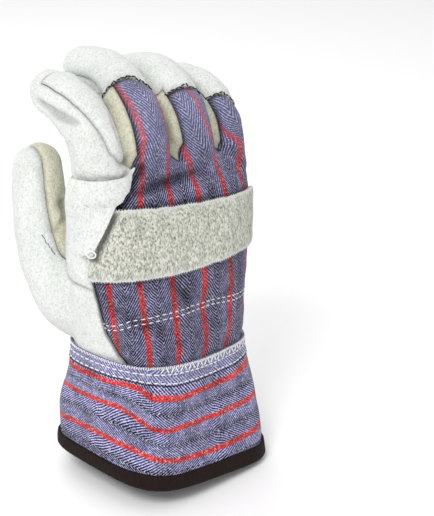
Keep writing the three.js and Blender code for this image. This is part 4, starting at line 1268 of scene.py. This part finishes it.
class GLOVE_OT_sewing(bpy.types.Operator):
    """Lay the visible rows of thread: back, finger caps, cuff, binding, patch and flap"""
    bl_idname = "glove.sewing"
    bl_label = "Rows of stitches"

    def execute(self, context):
        props = sizes()
        pitch, thread = props.stitch_pitch, props.thread
        cloth = CACHE["back_cloth"]
        at, level = np.array(BACK_ROW, float).T
        over = cloth["rest"][:, 2] - np.interp(cloth["rest"][:, 0], at, level)
        rows = trace(cloth, over) + trace(cloth, over + ROW_GAP)
        stitched("back_stitches", rows, "thread", pitch, pitch * 0.72, thread)
        caps = []
        for name in LOBES:
            cap = CACHE[f"tip_{name}"]
            caps += trace(cap, cap[f"lobe_{name}"] - 1.0)
        stitched("cap_stitches", caps, "dark_thread", pitch=2.0, length=2.3, thread=thread * 1.4, swing=20)
        rows = [cuff_line(line) for line in CUFF_ROWS]
        stitched("cuff_stitches", rows, "thread", pitch, pitch * 0.88, thread * 1.3)
        under = [cuff_line(CUFF_ROWS[0], lift=-1.1)]
        stitched("cuff_dark_row", under, "dark_thread", pitch=1.6, length=1.9, thread=0.6)
        edge = [cuff_line([(-180, CUFF_LENGTH), (0, CUFF_LENGTH)], lift=-0.5)]
        stitched("cuff_serging", edge, "thread", pitch=1.1, length=1.7, thread=0.55, turn=75, swing=15)
        ladder = [cuff_line(CUFF_ROWS[1], 1.9, *LADDER_SPAN)]
        stitched("cuff_ladder", ladder, "thread", pitch=2.6, length=3.6, thread=0.7, turn=90, swing=30)
        hem = [cuff_line([(-180, BINDING_HEIGHT + 1.2), (0, BINDING_HEIGHT + 1.2)])]
        stitched("hem_stitches", hem, "dark_thread", pitch, pitch * 0.7, thread * 0.9)
        strap = CACHE["knuckle_strap"]
        rim = trace(strap, strap["edge"] + 0.3)
        stitched("strap_fibres", rim, "fibre", pitch=0.7, length=2.6, thread=0.3, turn=90, swing=35)
        stitched("flap_knot", [flap_loop()], "thread", pitch=0.5, length=0.9, thread=0.8)
        stitched("thumb_dart", [dart_line()], "dark_thread", pitch=1.3, length=1.5, thread=0.4)
        patch = CACHE["patch"]
        rows = trace(patch, patch["edge"] + 2.2) + trace(patch, patch["edge"] + 4.6)
        stitched("patch_stitches", rows, "thread", pitch, pitch * 0.7, thread)
        return {"FINISHED"}


# Finishes

WHITE, CLEAR = (1, 1, 1, 1), (0, 0, 0, 1)


def per_metre(size):
    """Scale of a pattern whose lumps have a size in millimetres."""
    return 1 / (size * MM)


def tinted(colour, factor):
    return tuple(min(v * factor, 1.0) for v in colour[:3]) + (1.0,)


def new_material(name):
    material = bpy.data.materials.new(name)
    material.use_nodes = True
    material.node_tree.nodes.clear()
    return material, material.node_tree


def suede(name, colour, nap, bump, speckle, hairy, brushed=1.3):
    """Split cowhide, brushed: a fuzzy nap with no gloss, a little darker where the fibres lie flat, and
    painted shade near seams, folds and the edges of the strap and flap.
    """
    material, tree = new_material(name)
    place = node(tree, "ShaderNodeTexCoord", out="Object")
    lie = (1.0, 1.0, 1.0 / brushed)
    strokes = node(tree, "ShaderNodeMapping", Vector=place, Rotation=(0.0, 0.6, 0.0), Scale=lie)
    fine = node(tree, "ShaderNodeTexNoise", strokes, per_metre(nap), 4, 0.75)
    lumps = node(tree, "ShaderNodeTexNoise", strokes, per_metre(nap * 4), 3, 0.6)
    broad = node(tree, "ShaderNodeTexNoise", place, per_metre(22), 2, 0.5)
    tones = [(0.3, tinted(colour, 0.93)), (0.55, colour), (0.75, tinted(colour, 1.05))]
    tone = node(tree, "ShaderNodeValToRGB", broad, stops=tones)
    patches, low, high = 1 - 0.35 * speckle, 1 - speckle, 1 + speckle / 2
    blotch = [(0.34, (patches, patches, patches * 0.98, 1)), (0.55, WHITE)]
    blotch = node(tree, "ShaderNodeValToRGB", lumps, stops=blotch)
    fuzz = [(0.36, (low, low, low * 0.98, 1)), (0.5, WHITE), (0.62, (high, high, high, 1))]
    fuzz = node(tree, "ShaderNodeValToRGB", fine, stops=fuzz)
    # Painted shade: darker near seams, folds and the edges of the strap and flap, the darker the more speckle
    seam = node(tree, "ShaderNodeAttribute", attribute_name="seam", out="Fac")
    seam_shade = node(tree, "ShaderNodeMapRange", seam, 0.0, 1.6, 0.78 - 0.9 * speckle, 1.0)
    grey = node(tree, "ShaderNodeCombineColor", seam_shade, seam_shade, seam_shade)
    for share, layer in ((0.9, blotch), (1.0, fuzz), (1.0, grey)):
        tone = node(tree, "ShaderNodeMix", share, tone, layer, data_type="RGBA", blend_type="MULTIPLY")
    pale = node(tree, "ShaderNodeAttribute", attribute_name="pale", out="Fac")
    share = node(tree, "ShaderNodeMath", pale, 0.8, operation="MULTIPLY")
    tone = node(tree, "ShaderNodeMix", share, tone, linear("F4F4EE"), data_type="RGBA")
    nap_height = node(tree, "ShaderNodeMath", lumps, hairy, fine, operation="MULTIPLY_ADD")
    bumped = node(tree, "ShaderNodeBump", Height=nap_height, Strength=1.0, Distance=bump * MM)
    shader = node(tree, "ShaderNodeBsdfPrincipled", Base_Color=tone, Normal=bumped, Roughness=0.95,
                  Specular_IOR_Level=0.12, Sheen_Weight=0.3, Sheen_Roughness=0.6)
    node(tree, "ShaderNodeOutputMaterial", shader)
    return material


def striped_cloth(name, fade):
    """Cotton drill woven as herringbone: ribs lean one way, then the other, between stripe and dark band.

    Real ribs lie under 1 mm apart, too fine to show, so they are drawn as far apart as the twill pitch."""
    material, tree = new_material(name)
    tones, lengths = colours(), sizes()
    weave = node(tree, "ShaderNodeUVMap", uv_map="weave")
    across, along = node(tree, "ShaderNodeSeparateXYZ", weave).node.outputs[:2]
    place = node(tree, "ShaderNodeTexCoord", out="Object")
    wobble = node(tree, "ShaderNodeTexNoise", place, per_metre(9), 2, 0.55)
    wobble = node(tree, "ShaderNodeMath", wobble, 0.001, -0.0005, operation="MULTIPLY_ADD")
    across = node(tree, "ShaderNodeMath", across, wobble, operation="ADD")
    stripe = node(tree, "ShaderNodeMath", across, lengths.stripe_pitch * MM, operation="DIVIDE")
    whole = node(tree, "ShaderNodeMath", stripe, operation="ROUND")
    away = node(tree, "ShaderNodeMath", stripe, whole, operation="SUBTRACT")
    away = node(tree, "ShaderNodeMath", away, operation="ABSOLUTE")
    away = node(tree, "ShaderNodeMath", away, lengths.stripe_pitch, operation="MULTIPLY")
    zigzag = node(tree, "ShaderNodeMath", away, lengths.stripe_pitch / 2, operation="PINGPONG")
    lean = node(tree, "ShaderNodeMath", zigzag, 1.3 * MM, along, operation="MULTIPLY_ADD")
    rib = node(tree, "ShaderNodeMath", lean, lengths.twill_pitch * MM, operation="DIVIDE")
    fuzz = node(tree, "ShaderNodeTexNoise", place, per_metre(0.6), 3, 0.7)
    rib = node(tree, "ShaderNodeMath", fuzz, 0.5, rib, operation="MULTIPLY_ADD")
    ribs = node(tree, "ShaderNodeMath", rib, 2 * math.pi, operation="MULTIPLY")
    ribs = node(tree, "ShaderNodeMath", ribs, operation="SINE")
    half = lengths.stripe_width / 2
    ribs, soft, dark = (
        node(tree, "ShaderNodeMapRange", value, *span, interpolation_type="SMOOTHSTEP")
        for value, span in (
            (ribs, (0.1, 0.75, 0.0, 1.0)), (away, (half - 0.4, half + 0.4, 1.0, 0.0)),
            (away, (4.8 + 5 * fade, 6.6 + 3 * fade, 0.0, 1.0)),
        )
    )
    pale = node(tree, "ShaderNodeAttribute", attribute_name="pale", out="Fac")
    deep = node(tree, "ShaderNodeMath", 1.0, pale, operation="SUBTRACT")
    dark = node(tree, "ShaderNodeMath", dark, deep, operation="MULTIPLY")
    blue, night, red = (
        node(tree, "ShaderNodeMix", ribs, valley, ridge, data_type="RGBA")
        for valley, ridge in (
            (tinted(tones.blue, 0.18 + 0.7 * fade), tinted(tones.light, 0.84 + 1.6 * fade)),
            (tones.black, tinted(tones.light, 0.7 + 0.6 * fade)),
            (tinted(tones.red, 0.35 + fade), tinted(tones.red, 1.15)),
        )
    )
    cloth = node(tree, "ShaderNodeMix", dark, blue, night, data_type="RGBA")
    cloth = node(tree, "ShaderNodeMix", soft, cloth, red, data_type="RGBA")
    worn = node(tree, "ShaderNodeTexNoise", place, per_metre(10), 4, 0.6)
    wash = [(0.32, (0.5, 0.5, 0.54, 1)), (0.5, WHITE), (0.68, (1.4, 1.4, 1.44, 1))]
    wash = node(tree, "ShaderNodeValToRGB", worn, stops=wash)
    yarn = node(tree, "ShaderNodeTexNoise", place, per_metre(0.8), 3, 0.75)
    grain = [(0.36, (0.2, 0.18, 0.24, 1)), (0.5, WHITE), (0.62, (1.7, 1.6, 1.7, 1))]
    grain = node(tree, "ShaderNodeValToRGB", yarn, stops=grain)
    for share, layer in ((0.8, wash), (0.9, grain)):
        cloth = node(tree, "ShaderNodeMix", share, cloth, layer, data_type="RGBA", blend_type="MULTIPLY")
    fleck = node(tree, "ShaderNodeTexNoise", place, per_metre(1.1), 3, 0.7)
    fleck = node(tree, "ShaderNodeValToRGB", fleck, stops=[(0.57, CLEAR), (0.66, WHITE)])
    for value, share, tint in ((fleck, 0.3 + 1.2 * fade, tones.thread), (pale, 0.3, tones.light)):
        share = node(tree, "ShaderNodeMath", value, share, operation="MULTIPLY")
        cloth = node(tree, "ShaderNodeMix", share, cloth, tint, data_type="RGBA")
    # Painted shade: the cloth darkens near seams and folds and beside the edges of the strap and flap
    seam = node(tree, "ShaderNodeAttribute", attribute_name="seam", out="Fac")
    under = node(tree, "ShaderNodeMapRange", seam, 0.2, 3.0, 0.25, 1.0)
    shade = node(tree, "ShaderNodeCombineColor", under, under, under)
    cloth = node(tree, "ShaderNodeMix", 1.0, cloth, shade, data_type="RGBA", blend_type="MULTIPLY")
    rib_height = node(tree, "ShaderNodeMath", fuzz, 0.5, ribs, operation="MULTIPLY_ADD")
    bumped = node(tree, "ShaderNodeBump", Height=rib_height, Strength=0.7, Distance=0.3 * MM)
    shader = node(tree, "ShaderNodeBsdfPrincipled", Base_Color=cloth, Normal=bumped, Roughness=0.95,
                  Specular_IOR_Level=0.1, Sheen_Weight=0.1)
    node(tree, "ShaderNodeOutputMaterial", shader)
    return material


def ribbed_tape(name):
    """Polyester binding tape: fine ribs across, dark brown with a dull shine."""
    material, tree = new_material(name)
    tape = colours().tape
    along = node(tree, "ShaderNodeSeparateXYZ", node(tree, "ShaderNodeUVMap", uv_map="weave"))
    place = node(tree, "ShaderNodeTexCoord", out="Object")
    ribs = node(tree, "ShaderNodeMath", along, 2 * math.pi / (0.9 * MM), operation="MULTIPLY")
    ribs = node(tree, "ShaderNodeMath", ribs, operation="SINE")
    cloudy = node(tree, "ShaderNodeTexNoise", place, per_metre(3), 3, 0.55)
    tone = node(tree, "ShaderNodeMix", cloudy, tinted(tape, 0.6), tinted(tape, 1.5), data_type="RGBA")
    bumped = node(tree, "ShaderNodeBump", Height=ribs, Strength=0.5, Distance=0.15 * MM)
    shader = node(tree, "ShaderNodeBsdfPrincipled", Base_Color=tone, Normal=bumped, Roughness=0.8,
                  Specular_IOR_Level=0.15)
    node(tree, "ShaderNodeOutputMaterial", shader)
    return material


def cotton_thread(name, colour):
    """Spun sewing thread: matt, a little uneven."""
    material, tree = new_material(name)
    place = node(tree, "ShaderNodeTexCoord", out="Object")
    uneven = node(tree, "ShaderNodeTexNoise", place, per_metre(2), 2, 0.55)
    tone = node(tree, "ShaderNodeMix", uneven, tinted(colour, 0.8), tinted(colour, 1.1), data_type="RGBA")
    node(tree, "ShaderNodeOutputMaterial",
         node(tree, "ShaderNodeBsdfPrincipled", Base_Color=tone, Roughness=0.8))
    return material


def finish(name):
    """Finish of a name, made once."""
    tones = colours()
    # Suede: nap and depth of its bump in millimetres, speckle, share of the lumps, stretch of the nap
    kinds = {
        "white": (suede, "white split cowhide", tones.white, 0.9, 0.6, 0.2, 0.9),
        "cream": (suede, "cream split cowhide", tones.cream, 0.9, 0.55, 0.24, 0.8),
        "grey": (suede, "coarse grey split cowhide", tones.grey, 0.8, 1.7, 0.72, 1.2, 2.0),
        "cloth": (striped_cloth, "herringbone cotton drill", 0.0),
        "faded": (striped_cloth, "faded herringbone cotton drill", 0.25),
        "tape": (ribbed_tape, "brown ribbed binding tape"),
        "thread": (cotton_thread, "white cotton thread", tones.thread),
        "fibre": (cotton_thread, "loose leather fibres", tones.white),
        "dark_thread": (cotton_thread, "black cotton thread", tones.dark_thread),
    }
    make, *details = kinds[name]
    if details[0] not in CACHE:
        CACHE[details[0]] = make(*details)
    return CACHE[details[0]]


# Camera, light and floor

PHOTO_WIDTH, PHOTO_HEIGHT = 434, 516
TARGET, TARGET_PIXEL = (0.001, 0.0, 0.12), (160.9, 219.8)
CAMERA_TURN, CAMERA_RISE, CAMERA_AWAY, LENS, SENSOR = -35, 20, 0.7, 103.0, 36.0
FLOOR_REACH, FLOOR_DROP, SKY = 4, 0.0005, 0.72
# Lamps: power in watts, size and place in metres
LAMPS = {
    "key": (9.5, 0.5, (-0.8, -0.5, 1.0)),
    "fill": (0.4, 1.0, (0.9, -0.7, 0.5)),
    "back": (3.5, 0.8, (0.1, 0.8, 1.0)),
}


class GLOVE_OT_stage(bpy.types.Operator):
    """Put the floor, the soft light and the camera round the glove"""
    bl_idname = "glove.stage"
    bl_label = "Stage"

    def execute(self, context):
        link = context.scene.collection.objects.link
        floor_mesh = bpy.data.meshes.new("floor")
        low, far = CAD_BOX[0][2] - FLOOR_DROP, FLOOR_REACH
        corners = [(-far, -far, low), (far, -far, low), (far, far, low), (-far, far, low)]
        floor_mesh.from_pydata(corners, [], [(0, 1, 2, 3)])
        floor = bpy.data.objects.new("floor", floor_mesh)
        link(floor)
        paper, tree = new_material("pale studio paper")
        shader = node(tree, "ShaderNodeBsdfPrincipled", Base_Color=linear("FFFFFF"), Roughness=0.9)
        node(tree, "ShaderNodeOutputMaterial", shader)
        floor_mesh.materials.append(paper)
        world = bpy.data.worlds.new("studio")
        world.use_nodes = True
        sky = world.node_tree.nodes["Background"].inputs
        sky["Color"].default_value, sky["Strength"].default_value = WHITE, SKY
        context.scene.world = world
        context.scene.view_settings.view_transform = "Standard"
        for name, (power, size, place) in LAMPS.items():
            lamp = bpy.data.lights.new(name, "AREA")
            lamp.energy, lamp.size = power, size
            light = bpy.data.objects.new(name, lamp)
            light.location = place
            light.rotation_euler = (Vector((0, 0, 0.1)) - Vector(place)).to_track_quat("-Z", "Y").to_euler()
            link(light)
        camera = bpy.data.cameras.new("camera")
        camera.sensor_fit, camera.sensor_height, camera.lens = "VERTICAL", SENSOR, LENS
        camera.clip_start, camera.clip_end = 0.05, 20.0
        turn, rise = math.radians(CAMERA_TURN), math.radians(CAMERA_RISE)
        away = Vector((math.sin(turn) * math.cos(rise), -math.cos(turn) * math.cos(rise), math.sin(rise)))
        focal = LENS / SENSOR * PHOTO_HEIGHT
        off_x = math.atan((TARGET_PIXEL[0] - PHOTO_WIDTH / 2) / focal)
        off_y = math.atan((TARGET_PIXEL[1] - PHOTO_HEIGHT / 2) / focal)
        viewer = bpy.data.objects.new("camera", camera)
        viewer.location = Vector(TARGET) + CAMERA_AWAY * away
        viewer.rotation_euler = aim(-away, off_x, off_y).to_euler()
        link(viewer)
        context.scene.camera = viewer
        return {"FINISHED"}


def aim(forward, off_x, off_y):
    """Level camera turned and tilted so that what lies forward shows off the middle of the frame."""
    turn, rise = math.atan2(forward.x, forward.y), math.asin(forward.z)
    for _ in range(30):
        ahead = Vector((math.sin(turn) * math.cos(rise), math.cos(turn) * math.cos(rise), math.sin(rise)))
        look = ahead.to_track_quat("-Z", "Y").to_matrix()
        seen = look.transposed() @ forward
        turn -= math.tan(off_x) - seen.x / -seen.z
        rise -= -math.tan(off_y) - seen.y / -seen.z
    return look


class GLOVE_PT_panel(bpy.types.Panel):
    """Lists the steps that build the glove"""
    bl_idname = "GLOVE_PT_panel"
    bl_label = "Rigger glove"
    bl_space_type = "VIEW_3D"
    bl_region_type = "UI"
    bl_category = "Glove"

    def draw(self, context):
        for group in (context.scene.glove_sizes, context.scene.glove_colours):
            for name in group.bl_rna.properties.keys():
                if name not in ("rna_type", "name"):
                    self.layout.prop(group, name)
        for step in STEPS:
            self.layout.operator(step.bl_idname)


STEPS = (GLOVE_OT_panels, GLOVE_OT_strap, GLOVE_OT_cuff, GLOVE_OT_sewing, GLOVE_OT_stage)
CLASSES = (GloveSizes, GloveColours) + STEPS + (GLOVE_PT_panel,)


def register():
    for cls in CLASSES:
        bpy.utils.register_class(cls)
    bpy.types.Scene.glove_sizes = bpy.props.PointerProperty(type=GloveSizes)
    bpy.types.Scene.glove_colours = bpy.props.PointerProperty(type=GloveColours)


def unregister():
    del bpy.types.Scene.glove_colours
    del bpy.types.Scene.glove_sizes
    for cls in reversed(CLASSES):
        bpy.utils.unregister_class(cls)


def main():
    register()
    for step in STEPS:
        family, name = step.bl_idname.split(".")
        getattr(getattr(bpy.ops, family), name)()


if __name__ == "__main__":
    main()
